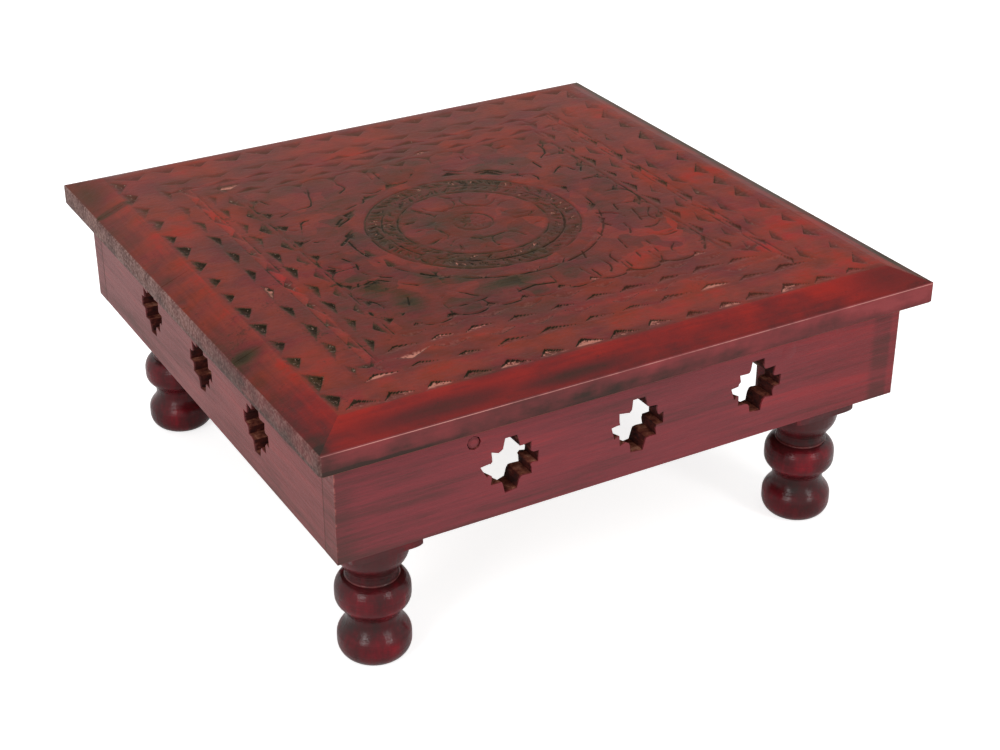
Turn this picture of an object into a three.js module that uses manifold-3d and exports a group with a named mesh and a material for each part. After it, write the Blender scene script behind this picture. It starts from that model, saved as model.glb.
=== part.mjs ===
// A bajot, the low carved table of western India: four edge-jointed boards with a chip-carved face,
// an apron frame pierced with stepped diamonds, and four turned legs glued into its corners.
// Millimetres, +Z up, +X along the front. The origin is on the floor under the middle of the top.
import * as THREE from "three";
import { mergeVertices } from "three/addons/utils/BufferGeometryUtils.js";
import Module from "manifold-3d";

// The top: a square edge, a bevel up to the flat carved field, and soft arrises
const topWidth = 380;
const topDepth = 380;
const topThickness = 20;
const topEdgeHeight = 12;
const bevelWidth = 20;
const bevelSoftening = 3;
const edgeSoftening = 1.2;
const boardNames = [
  "top_board_front",
  "top_board_middle_front",
  "top_board_middle_back",
  "top_board_back",
];
const boardJointShares = [0.28, 0.553, 0.834];
const boardGap = 0.3;

// The apron frame
const overhang = 12.3;
const apronHeight = 61;
const apronThickness = 14;
const cutoutCount = 3;
const cutoutPitch = 78;
const cutoutWidth = 33;
const cutoutHeight = 32;
const cutoutRise = 31;

// The turned legs, each from a square blank, with heights measured from the floor
const blankSize = 42;
const shoulderRise = 73.5;
const pommelRise = 4;
const pommelReach = 31;
const pommelFoot = 26;
const legBottomRise = 88;
const capRadius = 20.6;
const capRise = 70;
const neckFootRadius = 14.5;
const neckFootRise = 50.8;
const upperBeadRadius = 20.8;
const upperBeadTop = 42.5;
const upperBeadRise = 39;
const grooveRadius = 15;
const grooveRise = 26;
const footBeadRadius = 20.4;
const footBeadTop = 13;
const footBeadRise = 9.5;
const footRadius = 11.5;
const sweepShare = 0.5;

// The battens that hold the boards together
const battenToLeg = 12.1;
const battenWidth = 20;
const battenHeight = 26;

// Screws, plugs and nails
const screwShankRadius = 1.9;
const screwHeadRadius = 3.9;
const screwHeadHeight = 2.6;
const screwTipLength = 4;
const boardScrewReach = 12;
const endScrewReach = 16;
const plugRadius = 3.4;
const plugLength = 4.5;
const nailRadius = 1.3;
const nailHeadRadius = 2.4;
const nailHeadHeight = 1.2;
const nailTipLength = 3;
const nailReach = 24;
const nailCover = 1.6;
const longApronNailRiseShare = 0.7;
const sideApronNailRiseShare = 0.3;

// The carving, from the outer edge inwards: a border row of chips, a plain band, a double row,
// a ridge strip, a second double row and the line that frames the middle
const rimWidth = 1.5;
const borderChipLength = 9.5;
const borderChipCount = 15;
const borderChipDepth = 2.4;
const plainBandWidth = 12.5;
const outerChipLength = 6.8;
const outerChipCount = 11;
const outerChipDepth = 2;
const ridgeStripWidth = 6.5;
const innerChipLength = 8.2;
const innerChipCount = 9;
const innerChipDepth = 2;
const rowGap = 0.9;
const rowEndGap = 3;
const frameLineGap = 2;
const chipWidthShare = 0.82;
const chipDeepShare = 0.3;
const lineWidth = 1.6;
const lineDepth = 0.9;

// The petals between the frame line and the medallion: a cusp between each two of them, and a line
// from the cusp inwards, but not in the corners, which hold a spray of three leaf cuts
const cuspCount = 9;
const cuspLength = 7;
const cuspWidthShare = 0.42;
const cuspDepth = 2;
const petalLineLength = 18;
const petalLineWidth = 1.8;
const petalLineDepth = 1;
const ringCuspCount = 24;
const ringCuspWidthShare = 0.42;
const sprayMargin = 12;
const sprayLength = 27;
const sprayFan = 26;
const sprayWidth = 3;
const sprayDepth = 1.4;
const cutTaper = 2;

// The medallion: circles scribed round the centre, two rings of stamped triangles and a rosette
const scribedRadii = [77, 64, 54.3, 44.8, 23.8, 12];
const outerStampCount = 32;
const innerStampCount = 26;
const stampMargin = 1.6;
const stampDepth = 1.6;
const stampWidthShare = 0.85;
const petalCount = 10;
const petalCutWidth = 3;
const petalCutDepth = 1.6;

// Clearances and fineness
const glueLine = 0.1;
const fastenerClearance = 0.15;
const overrun = 1;
const weldDistance = 1e-4;
const legSides = 20;
const beadSteps = 3;
const fastenerSides = 8;
const circleStep = 9;
const softSteps = 3;
const cornerSteps = 2;

// Places that follow from the sizes
const topUnderside = legBottomRise + apronHeight + glueLine;
const frameWidth = topWidth - 2 * overhang;
const frameDepth = topDepth - 2 * overhang;
const frameTop = topUnderside - glueLine;
const legOffsetX = frameWidth / 2 - apronThickness - glueLine - blankSize / 2;
const legOffsetY = frameDepth / 2 - apronThickness - glueLine - blankSize / 2;
const battenOffset = legOffsetX - blankSize / 2 - battenToLeg - battenWidth / 2;
const battenLength = frameDepth - 2 * apronThickness - 2 * glueLine;
const sideApronLength = battenLength;
const battenRise = topUnderside - glueLine - battenHeight / 2;

const wasm = await Module();
wasm.setup();

// A closed geometry as a solid that can be cut and joined.
function solidFrom(geometry) {
  const bare = geometry.clone();
  bare.deleteAttribute("normal");
  bare.deleteAttribute("uv");
  const welded = mergeVertices(bare, weldDistance);
  const corners = welded.index.array;
  const kept = [];
  for (let i = 0; i < corners.length; i += 3) {
    const [a, b, c] = corners.slice(i, i + 3);
    if (a !== b && b !== c && c !== a) kept.push(a, b, c);
  }
  const vertProperties = welded.attributes.position.array;
  const triVerts = new Uint32Array(kept);
  return new wasm.Manifold(new wasm.Mesh({ numProp: 3, vertProperties, triVerts }));
}

// A solid as a flat-shaded geometry.
function geometryFrom(solid) {
  const { vertProperties, triVerts } = solid.getMesh();
  const geometry = new THREE.BufferGeometry();
  geometry.setAttribute("position", new THREE.BufferAttribute(vertProperties, 3));
  geometry.setIndex(new THREE.BufferAttribute(triVerts, 1));
  const flat = geometry.toNonIndexed();
  flat.computeVertexNormals();
  return flat;
}

function cutAll(solid, cutters) {
  return cutters.reduce((rest, cutter) => rest.subtract(cutter), solid);
}

function meshOf(name, solid, material) {
  const mesh = new THREE.Mesh(geometryFrom(solid), material.clone());
  mesh.name = name;
  return mesh;
}

function boxSolid(width, depth, height) {
  return solidFrom(new THREE.BoxGeometry(width, depth, height));
}

// A shape drawn in (Y, Z) and drawn out along X, or drawn in (X, Z) and drawn out along Y, about the middle.
function prismAlong(axis, shape, length) {
  const settings = { depth: length, bevelEnabled: false, curveSegments: softSteps };
  const geometry = new THREE.ExtrudeGeometry(shape, settings).translate(0, 0, -length / 2);
  const x = new THREE.Vector3(1, 0, 0);
  const y = new THREE.Vector3(0, 1, 0);
  const z = new THREE.Vector3(0, 0, 1);
  const turn = new THREE.Matrix4();
  if (axis === "x") turn.makeBasis(y, z, x);
  else turn.makeBasis(x, z, y.negate());
  return solidFrom(geometry.applyMatrix4(turn));
}

// A profile of (radius, height) points revolved about Z.
function turned(points, sides) {
  return new THREE.LatheGeometry(points, sides).rotateX(Math.PI / 2);
}

// Section of the top across one pair of sides: square edge, bevel and field with softened corners
function topSection(width) {
  const half = width / 2;
  const fieldHalf = half - bevelWidth;
  const slope = new THREE.Vector2(bevelWidth, topEdgeHeight - topThickness).normalize();
  const shape = new THREE.Shape();
  shape.moveTo(-half, 0);
  shape.lineTo(half, 0);
  for (const side of [1, -1]) {
    const outer = new THREE.Vector2(side * half, topEdgeHeight);
    const inner = new THREE.Vector2(side * fieldHalf, topThickness);
    const alongBevel = new THREE.Vector2(side * slope.x, slope.y);
    const downEdge = new THREE.Vector2(0, -edgeSoftening);
    const upBevel = alongBevel.clone().multiplyScalar(-edgeSoftening);
    const downBevel = alongBevel.clone().multiplyScalar(bevelSoftening);
    const overField = new THREE.Vector2(-side * bevelSoftening, 0);
    const corners = [
      [outer, downEdge, upBevel],
      [inner, downBevel, overField],
    ];
    const order = side > 0 ? corners : corners.reverse();
    for (const [corner, before, after] of order) {
      const enter = corner.clone().add(side > 0 ? before : after);
      const leave = corner.clone().add(side > 0 ? after : before);
      shape.lineTo(enter.x, enter.y);
      shape.quadraticCurveTo(corner.x, corner.y, leave.x, leave.y);
    }
  }
  shape.closePath();
  return shape;
}

function hullOf(points) {
  return wasm.Manifold.hull(points.map((point) => point.toArray()));
}

// A three-sided chip: its mouth is the triangle on the surface, and its walls meet at one deep point.
function chipCutter(baseLeft, baseRight, apex, depth) {
  const deep = baseLeft.clone().add(baseRight).multiplyScalar(chipDeepShare / 2);
  deep.addScaledVector(apex, 1 - chipDeepShare);
  deep.z -= depth;
  const lift = 1 + overrun / depth;
  const raised = (corner) => corner.clone().sub(deep).multiplyScalar(lift).add(deep);
  return hullOf([deep, ...[baseLeft, baseRight, apex].map(raised)]);
}

// A straight V-shaped cut between two points on the surface, which runs out at both ends.
function grooveCutter(start, end, width, depth) {
  const lift = 1 + overrun / depth;
  const along = end.clone().sub(start).normalize();
  const across = new THREE.Vector3(-along.y, along.x, 0).multiplyScalar((lift * width) / 2);
  const point = (from, run, z) => from.clone().addScaledVector(along, run).setZ(from.z + z);
  const top = [point(start, cutTaper * (1 - lift), overrun), point(end, cutTaper * (lift - 1), overrun)];
  const bottom = [point(start, cutTaper, -depth), point(end, -cutTaper, -depth)];
  const mouth = top.flatMap((corner) => [corner.clone().add(across), corner.clone().sub(across)]);
  return hullOf([...bottom, ...mouth]);
}

// The four sides of the top as a run along the side, its distance from the centre and its turn about Z
const sides = [0, 1, 2, 3].map((quarter) => ({
  run: quarter % 2 ? topDepth : topWidth,
  reach: (quarter % 2 ? topWidth : topDepth) / 2,
  turn: (quarter * Math.PI) / 2,
}));

// A point on the field: along a side, and inwards from the top's outer edge.
function onSide(side, along, inset) {
  const point = new THREE.Vector3(along, inset - side.reach, topThickness);
  return point.applyAxisAngle(new THREE.Vector3(0, 0, 1), side.turn);
}

// The middles of an even row along a side that starts at one inset
function rowPlaces(side, inset, count) {
  const length = side.run - 2 * (inset + rowEndGap);
  const pitch = length / count;
  return Array.from({ length: count }, (_, i) => ({ middle: (i + 1 / 2) * pitch - length / 2, pitch }));
}

// One row of chips along each side, with the base of each chip at one inset and its apex at another
function chipRow(baseInset, apexInset, count, depth, widthShare) {
  return sides.flatMap((side) =>
    rowPlaces(side, Math.min(baseInset, apexInset), count).map(({ middle, pitch }) => {
      const half = (pitch * widthShare) / 2;
      const left = onSide(side, middle - half, baseInset);
      const right = onSide(side, middle + half, baseInset);
      return chipCutter(left, right, onSide(side, middle, apexInset), depth);
    }),
  );
}

// A pair of rows whose chips stand apex to apex
function doubleRow(inset, length, count, depth) {
  const far = inset + 2 * length + rowGap;
  return [
    ...chipRow(inset, inset + length, count, depth, chipWidthShare),
    ...chipRow(far, far - length, count, depth, chipWidthShare),
  ];
}

// A V-shaped line round the field at one inset
function framingLine(inset) {
  const lift = 1 + overrun / lineDepth;
  const section = new THREE.Shape();
  section.moveTo(0, -lineDepth);
  section.lineTo((lift * lineWidth) / 2, lineDepth * (lift - 1));
  section.lineTo((-lift * lineWidth) / 2, lineDepth * (lift - 1));
  section.closePath();
  return sides.map((side) =>
    prismAlong("x", section, side.run - 2 * inset)
      .translate([0, inset - side.reach, topThickness])
      .rotate([0, 0, THREE.MathUtils.radToDeg(side.turn)]),
  );
}

// A V-shaped circle of one radius
function scribedCircle(radius) {
  const lift = 1 + overrun / lineDepth;
  const points = [
    new THREE.Vector2(radius, -lineDepth),
    new THREE.Vector2(radius + (lift * lineWidth) / 2, lineDepth * (lift - 1)),
    new THREE.Vector2(radius - (lift * lineWidth) / 2, lineDepth * (lift - 1)),
    new THREE.Vector2(radius, -lineDepth),
  ];
  const sides = Math.round((2 * Math.PI * radius) / circleStep);
  return solidFrom(turned(points, sides).translate(0, 0, topThickness));
}

function aroundCentre(radius, angle) {
  return new THREE.Vector3(radius * Math.cos(angle), radius * Math.sin(angle), topThickness);
}

// Chips set round the centre, each from a base at one radius to an apex at another
function ringOfChips(baseRadius, apexRadius, count, baseWidth, depth) {
  const half = baseWidth / 2 / baseRadius;
  return Array.from({ length: count }, (_, i) => {
    const angle = (i * 2 * Math.PI) / count;
    const left = aroundCentre(baseRadius, angle - half);
    const right = aroundCentre(baseRadius, angle + half);
    return chipCutter(left, right, aroundCentre(apexRadius, angle), depth);
  });
}

function stampRing(baseRadius, apexRadius, count) {
  const width = (stampWidthShare * 2 * Math.PI * Math.min(baseRadius, apexRadius)) / count;
  return ringOfChips(baseRadius, apexRadius, count, width, stampDepth);
}

function rosette(baseRadius, apexRadius) {
  return ringOfChips(baseRadius, apexRadius, petalCount, petalCutWidth, petalCutDepth);
}

// The cusps of the petals along each side, and the line from each cusp that isn't in a corner
function petalCuts(inset) {
  const reach = inset + cuspLength;
  const lines = sides.flatMap((side) =>
    rowPlaces(side, inset, cuspCount)
      .slice(1, -1)
      .map(({ middle }) => [onSide(side, middle, reach), onSide(side, middle, reach + petalLineLength)]),
  );
  return [
    ...chipRow(inset, reach, cuspCount, cuspDepth, cuspWidthShare),
    ...lines.map(([start, end]) => grooveCutter(start, end, petalLineWidth, petalLineDepth)),
  ];
}

// The cusps round the medallion, where the petals meet its outermost circle
function ringCusps(radius) {
  const width = (ringCuspWidthShare * 2 * Math.PI * radius) / ringCuspCount;
  return ringOfChips(radius, radius + cuspLength, ringCuspCount, width, cuspDepth);
}

// Three leaf cuts that fan out from each corner of the frame line towards the medallion
function cornerSprays(inset) {
  return sides.flatMap((side) => {
    const start = onSide(side, inset + sprayMargin - side.run / 2, inset + sprayMargin);
    const inwards = start.clone().setZ(0).normalize().multiplyScalar(-sprayLength);
    return [-sprayFan, 0, sprayFan].map((turn) => {
      const leaf = inwards.clone().applyAxisAngle(new THREE.Vector3(0, 0, 1), THREE.MathUtils.degToRad(turn));
      return grooveCutter(start, start.clone().add(leaf), sprayWidth, sprayDepth);
    });
  });
}

// All the carving of the field
function carvingCutters() {
  const borderInset = bevelWidth + rimWidth;
  const outerInset = borderInset + borderChipLength + plainBandWidth;
  const ridgeInset = outerInset + 2 * outerChipLength + rowGap;
  const innerInset = ridgeInset + ridgeStripWidth;
  const frameInset = innerInset + 2 * innerChipLength + rowGap + frameLineGap;
  const [bandRadius, rimRadius, middleRadius, discRadius, rosetteRadius] = scribedRadii;
  return [
    ...chipRow(borderInset, borderInset + borderChipLength, borderChipCount, borderChipDepth, chipWidthShare),
    ...doubleRow(outerInset, outerChipLength, outerChipCount, outerChipDepth),
    ...doubleRow(innerInset, innerChipLength, innerChipCount, innerChipDepth),
    ...[ridgeInset + lineWidth, innerInset - lineWidth, frameInset].flatMap(framingLine),
    ...scribedRadii.map(scribedCircle),
    ...stampRing(rimRadius - stampMargin, middleRadius + stampMargin, outerStampCount),
    ...stampRing(discRadius + stampMargin, middleRadius - stampMargin, innerStampCount),
    ...rosette(discRadius - stampMargin, rosetteRadius + stampMargin),
    ...petalCuts(frameInset + lineWidth),
    ...ringCusps(bandRadius),
    ...cornerSprays(frameInset),
  ];
}

// Joint lines of the boards as distances from the middle, the front edge and the back edge among them
const boardEdges = [0, ...boardJointShares, 1].map((share) => (share - 1 / 2) * topDepth);

const boardScrewLength = battenHeight + glueLine + boardScrewReach;
const endScrewLength = apronThickness - plugLength + glueLine + endScrewReach;
const nailLength = apronThickness - nailCover + glueLine + nailReach;

// Each board is screwed down at its middle, but an outer one between its joint and the batten's end screw
const endScrewTip = frameDepth / 2 - plugLength - endScrewLength;
const screwBounds = [-endScrewTip, ...boardEdges.slice(1, -1), endScrewTip];
const boardScrewPlaces = boardNames.map((_, i) => (screwBounds[i] + screwBounds[i + 1]) / 2);

// A screw from its countersunk head at the origin along +Z
function screwPoints(length) {
  return [
    new THREE.Vector2(0, 0),
    new THREE.Vector2(screwHeadRadius, 0),
    new THREE.Vector2(screwShankRadius, screwHeadHeight),
    new THREE.Vector2(screwShankRadius, length - screwTipLength),
    new THREE.Vector2(0, length),
  ];
}

// A nail from its flat head at the origin along +Z
function nailPoints(length) {
  return [
    new THREE.Vector2(0, 0),
    new THREE.Vector2(nailHeadRadius, 0),
    new THREE.Vector2(nailHeadRadius, nailHeadHeight),
    new THREE.Vector2(nailRadius, nailHeadHeight),
    new THREE.Vector2(nailRadius, length - nailTipLength),
    new THREE.Vector2(0, length),
  ];
}

// The hole that a fastener lies in: its own profile, wider all round by the clearance
function holePoints(points) {
  return points.map((point, i) => {
    const end = i === points.length - 1;
    const x = point.x > 0 ? point.x + fastenerClearance : 0;
    return new THREE.Vector2(x, point.y + (end ? fastenerClearance : i < 2 ? -fastenerClearance : 0));
  });
}

// A turn and a place for something that is drawn along +Z
function placement(direction, position) {
  const turn = new THREE.Quaternion().setFromUnitVectors(new THREE.Vector3(0, 0, 1), direction);
  return new THREE.Matrix4().compose(position, turn, new THREE.Vector3(1, 1, 1));
}

const up = new THREE.Vector3(0, 0, 1);

// Every fastener with its profile, the way it points and where its head is
const boardScrews = [-1, 1].flatMap((side) =>
  boardScrewPlaces.map((y, i) => ({
    name: `board_screw_${side < 0 ? "left" : "right"}_${i + 1}`,
    points: screwPoints(boardScrewLength),
    frame: placement(up, new THREE.Vector3(side * battenOffset, y, topUnderside - glueLine - battenHeight)),
  })),
);
const ends = [-1, 1].flatMap((side) => [-1, 1].map((end) => ({ side, end })));
const endName = ({ side, end }) => `${end < 0 ? "front" : "back"}_${side < 0 ? "left" : "right"}`;
const endScrews = ends.map((corner) => {
  const headY = corner.end * (frameDepth / 2 - plugLength);
  return {
    name: `batten_end_screw_${endName(corner)}`,
    points: screwPoints(endScrewLength),
    frame: placement(
      new THREE.Vector3(0, -corner.end, 0),
      new THREE.Vector3(corner.side * battenOffset, headY, battenRise),
    ),
  };
});
const longApronNails = ends.map((corner) => ({
  name: `apron_nail_long_${endName(corner)}`,
  points: nailPoints(nailLength),
  frame: placement(
    new THREE.Vector3(0, -corner.end, 0),
    new THREE.Vector3(
      corner.side * legOffsetX,
      corner.end * (frameDepth / 2 - nailCover),
      legBottomRise + longApronNailRiseShare * apronHeight,
    ),
  ),
}));
const sideApronNails = ends.map((corner) => ({
  name: `apron_nail_side_${endName(corner)}`,
  points: nailPoints(nailLength),
  frame: placement(
    new THREE.Vector3(-corner.side, 0, 0),
    new THREE.Vector3(
      corner.side * (frameWidth / 2 - nailCover),
      corner.end * legOffsetY,
      legBottomRise + sideApronNailRiseShare * apronHeight,
    ),
  ),
}));

function holeOf(fastener) {
  return solidFrom(turned(holePoints(fastener.points), fastenerSides).applyMatrix4(fastener.frame));
}

const boardScrewHoles = boardScrews.map(holeOf);
const endScrewHoles = endScrews.map(holeOf);
const nailHoles = [...longApronNails, ...sideApronNails].map(holeOf);

// The pocket of a plug, from the apron's face to the screw's head
const plugPockets = ends.map(({ side, end }) => {
  const length = plugLength + overrun;
  const pocket = new THREE.CylinderGeometry(
    screwHeadRadius + fastenerClearance,
    screwHeadRadius + fastenerClearance,
    length,
    fastenerSides,
  );
  return solidFrom(pocket.translate(0, end * (frameDepth / 2 + overrun - length / 2), 0))
    .translate([side * battenOffset, 0, battenRise]);
});

// Finishes
const fieldPaint = new THREE.MeshStandardMaterial({ color: 0x8c2f2b, roughness: 0.5, metalness: 0 });
const apronPaint = new THREE.MeshStandardMaterial({ color: 0x72303a, roughness: 0.45, metalness: 0 });
const legPaint = new THREE.MeshStandardMaterial({ color: 0x5a1f25, roughness: 0.3, metalness: 0 });
const bareWood = new THREE.MeshStandardMaterial({ color: 0x8a6648, roughness: 0.8, metalness: 0 });
const steel = new THREE.MeshStandardMaterial({ color: 0x8d8f92, roughness: 0.4, metalness: 1 });

// The four boards, cut from one carved panel
function boards() {
  const group = new THREE.Group();
  const panel = prismAlong("x", topSection(topDepth), topWidth)
    .intersect(prismAlong("y", topSection(topWidth), topDepth));
  const carved = panel.subtract(wasm.Manifold.union(carvingCutters()));
  const bored = cutAll(carved, boardScrewHoles.map((hole) => hole.translate([0, 0, -topUnderside])));
  boardNames.forEach((name, i) => {
    const front = boardEdges[i] + (i > 0 ? boardGap / 2 : -overrun);
    const back = boardEdges[i + 1] - (i < boardNames.length - 1 ? boardGap / 2 : -overrun);
    const slab = boxSolid(topWidth + 2 * overrun, back - front, 2 * topThickness + 2 * overrun);
    const board = bored.intersect(slab.translate([0, (front + back) / 2, topThickness]));
    group.add(meshOf(name, board, fieldPaint));
  });
  group.position.z = topUnderside;
  return group;
}

// Quarter of a stepped diamond, from its upper point to its right one, in shares of the half sizes.
// The second and fourth corners are those of the wood between the points, and are rounded.
const cutoutShares = [
  [0.24, 1],
  [0.31, 0.55],
  [0.72, 0.6],
  [0.7, 0.2],
  [1, 0.22],
];
const woodCornerRoundShare = 0.3;

function cutoutShape() {
  const quarters = [
    [1, 1],
    [-1, 1],
    [-1, -1],
    [1, -1],
  ];
  const corners = quarters.flatMap(([signX, signY], quarter) => {
    const order = cutoutShares.map(([x, y], i) => ({
      point: new THREE.Vector2((signX * x * cutoutWidth) / 2, (signY * y * cutoutHeight) / 2),
      round: i % 2 === 1,
    }));
    return quarter % 2 ? order : order.reverse();
  });
  const shape = new THREE.Shape();
  corners.forEach(({ point, round }, i) => {
    if (!round) {
      if (i === 0) shape.moveTo(point.x, point.y);
      else shape.lineTo(point.x, point.y);
      return;
    }
    const enter = point.clone().lerp(corners[i - 1].point, woodCornerRoundShare);
    const leave = point.clone().lerp(corners[i + 1].point, woodCornerRoundShare);
    shape.lineTo(enter.x, enter.y);
    shape.quadraticCurveTo(point.x, point.y, leave.x, leave.y);
  });
  shape.closePath();
  return shape;
}

// A board of the frame along X with its row of cut-outs, about its own middle
function apronSolid(length) {
  const board = boxSolid(length, apronThickness, apronHeight);
  const cutter = new THREE.ExtrudeGeometry(cutoutShape(), {
    depth: apronThickness + 2 * overrun,
    bevelEnabled: false,
    curveSegments: cornerSteps,
  });
  cutter.translate(0, 0, -apronThickness / 2 - overrun).rotateX(Math.PI / 2);
  const first = (-cutoutPitch * (cutoutCount - 1)) / 2;
  const cutouts = Array.from({ length: cutoutCount }, (_, i) =>
    solidFrom(cutter).translate([first + i * cutoutPitch, 0, cutoutRise - apronHeight / 2]),
  );
  return cutAll(board, cutouts);
}

// An apron in the frame: along X, or turned along Y, and bored for its fasteners.
function apron(name, length, x, y, alongY) {
  const lift = legBottomRise + apronHeight / 2;
  const standing = alongY ? apronSolid(length).rotate([0, 0, 90]) : apronSolid(length);
  const holes = [...endScrewHoles, ...plugPockets, ...nailHoles];
  const bored = cutAll(standing, holes.map((hole) => hole.translate([-x, -y, -lift])));
  const mesh = meshOf(name, bored, apronPaint);
  mesh.position.set(x, y, lift);
  return mesh;
}

function aprons() {
  const group = new THREE.Group();
  const outY = (frameDepth - apronThickness) / 2;
  const outX = (frameWidth - apronThickness) / 2;
  group.add(apron("apron_front", frameWidth, 0, -outY, false));
  group.add(apron("apron_back", frameWidth, 0, outY, false));
  group.add(apron("apron_left", sideApronLength, -outX, 0, true));
  group.add(apron("apron_right", sideApronLength, outX, 0, true));
  return group;
}

// The turned profile of a leg, from the foot up to the head
function legProfile() {
  const path = new THREE.Path();
  const quarter = Math.PI / 2;
  path.moveTo(0, 0);
  path.lineTo(footRadius, 0);
  const lowerCurve = (radius, rise, width, height) =>
    path.absellipse(radius, rise, width, height, -quarter, 0, false);
  const upperCurve = (radius, rise, width, height) =>
    path.absellipse(radius, rise, width, height, 0, quarter, false);
  const sweepTo = (radius, rise) => {
    const start = path.currentPoint;
    const pull = sweepShare * (rise - start.y);
    path.bezierCurveTo(start.x, start.y + pull, radius, rise - pull, radius, rise);
  };
  lowerCurve(footRadius, footBeadRise, footBeadRadius - footRadius, footBeadRise);
  path.lineTo(footBeadRadius, footBeadTop);
  sweepTo(grooveRadius, grooveRise);
  sweepTo(upperBeadRadius, upperBeadRise);
  path.lineTo(upperBeadRadius, upperBeadTop);
  upperCurve(neckFootRadius, upperBeadTop, upperBeadRadius - neckFootRadius, neckFootRise - upperBeadTop);
  sweepTo(capRadius, capRise);
  path.lineTo(capRadius, shoulderRise);
  path.lineTo(pommelFoot, shoulderRise);
  path.quadraticCurveTo(pommelReach, shoulderRise, pommelReach, shoulderRise + pommelRise);
  path.lineTo(pommelReach, frameTop);
  path.lineTo(0, frameTop);
  return path.getPoints(beadSteps);
}

function legs() {
  const group = new THREE.Group();
  const blank = boxSolid(blankSize, blankSize, 2 * frameTop);
  const whole = solidFrom(turned(legProfile(), legSides)).intersect(blank);
  for (const corner of ends) {
    const x = corner.side * legOffsetX;
    const y = corner.end * legOffsetY;
    const bored = cutAll(whole, nailHoles.map((hole) => hole.translate([-x, -y, 0])));
    const mesh = meshOf(`leg_${endName(corner)}`, bored, legPaint);
    mesh.position.set(x, y, 0);
    group.add(mesh);
  }
  return group;
}

function battens() {
  const group = new THREE.Group();
  for (const side of [-1, 1]) {
    const x = side * battenOffset;
    const bar = boxSolid(battenWidth, battenLength, battenHeight);
    const holes = [...boardScrewHoles, ...endScrewHoles].map((hole) => hole.translate([-x, 0, -battenRise]));
    const mesh = meshOf(side < 0 ? "batten_left" : "batten_right", cutAll(bar, holes), bareWood);
    mesh.position.set(x, 0, battenRise);
    group.add(mesh);
  }
  return group;
}

function fasteners() {
  const group = new THREE.Group();
  const driven = [...boardScrews, ...endScrews, ...longApronNails, ...sideApronNails];
  for (const { name, points, frame } of driven) {
    const mesh = meshOf(name, solidFrom(turned(points, fastenerSides)), steel);
    mesh.applyMatrix4(frame);
    group.add(mesh);
  }
  for (const corner of ends) {
    const length = plugLength - fastenerClearance;
    const plug = new THREE.CylinderGeometry(plugRadius, plugRadius, length, fastenerSides);
    const mesh = meshOf(`plug_${endName(corner)}`, solidFrom(plug), apronPaint);
    const outY = frameDepth / 2 - length / 2;
    mesh.position.set(corner.side * battenOffset, corner.end * outY, battenRise);
    group.add(mesh);
  }
  return group;
}

const table = new THREE.Group();
table.name = "bajot_table";
table.add(boards(), aprons(), legs(), battens(), fasteners());

export default table;
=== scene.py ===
"""A bajot, a low carved table in worn red paint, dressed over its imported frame."""
import math
import random

import bmesh
import bpy
import numpy as np
from mathutils import Matrix, Vector
from mathutils.geometry import delaunay_2d_cdt


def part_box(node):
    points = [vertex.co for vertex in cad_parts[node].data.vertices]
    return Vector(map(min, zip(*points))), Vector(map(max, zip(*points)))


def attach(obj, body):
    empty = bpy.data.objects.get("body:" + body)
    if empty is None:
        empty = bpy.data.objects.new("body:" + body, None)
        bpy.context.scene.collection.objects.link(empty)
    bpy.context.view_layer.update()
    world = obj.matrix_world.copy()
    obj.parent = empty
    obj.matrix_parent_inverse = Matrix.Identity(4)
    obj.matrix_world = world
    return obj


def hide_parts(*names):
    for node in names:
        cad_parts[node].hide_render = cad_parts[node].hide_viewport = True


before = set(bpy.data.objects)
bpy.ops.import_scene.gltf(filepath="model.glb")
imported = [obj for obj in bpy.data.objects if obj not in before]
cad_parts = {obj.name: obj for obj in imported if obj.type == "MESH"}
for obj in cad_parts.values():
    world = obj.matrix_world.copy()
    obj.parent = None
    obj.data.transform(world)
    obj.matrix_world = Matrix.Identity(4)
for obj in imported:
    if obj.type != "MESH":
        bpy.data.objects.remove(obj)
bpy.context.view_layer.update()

MM = 0.001

# Sizes of the table, in millimetres, as in the part's source
TOP_HALF = 190.0
FRAME_HALF = 177.7
UNDERSIDE = 149.1
EDGE_HEIGHT = 12.0
THICKNESS = 20.0
BEVEL = 20.0
JOINTS = (-83.6, 20.14, 126.92)
BOARD_GAP = 0.04
BOARD_NAMES = ("top_board_front", "top_board_middle_front", "top_board_middle_back", "top_board_back")
APRON_BOTTOM = 88.0
APRON_THICKNESS = 14.0
CUTOUT_PITCH = 78.0
CUTOUT_RISE = 119.0
LEG_OFFSET = 142.6
BATTEN_OFFSET = 99.5
PLUG_RISE = 136.0
LAYOUT_SEED = 41
LEG_SIDES = 96
LEG_BLANK_HALF = 21.0
# (radius, height) of a plug's end: one turned with a softened rim, one whose ring is filled with paint
TURNED_PLUG = ((0.0, 0.0), (2.04, -0.05), (2.9, -0.15), (3.28, -0.4), (3.4, -0.8), (3.4, -4.2), (0.0, -4.2))
FILLED_PLUG = ((0.0, 0.12), (4.75, 0.12), (4.95, 0.05), (4.2, -1.0), (4.2, -4.2), (0.0, -4.2))

# The camera's heading, rise and roll in degrees, its place in metres and its focal length in pixels
CAMERA_ANGLES = (-29.79, 28.72, -0.03)
CAMERA_PLACE = (-0.48762, -0.88211, 0.61587)
FOCAL_PIXELS = 1853.5
PICTURE_WIDTH = 1000
LIT_PLACE = (0, 0, 0.1)
FLOOR_REACH = 6


# Camera, light and floor

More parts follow.
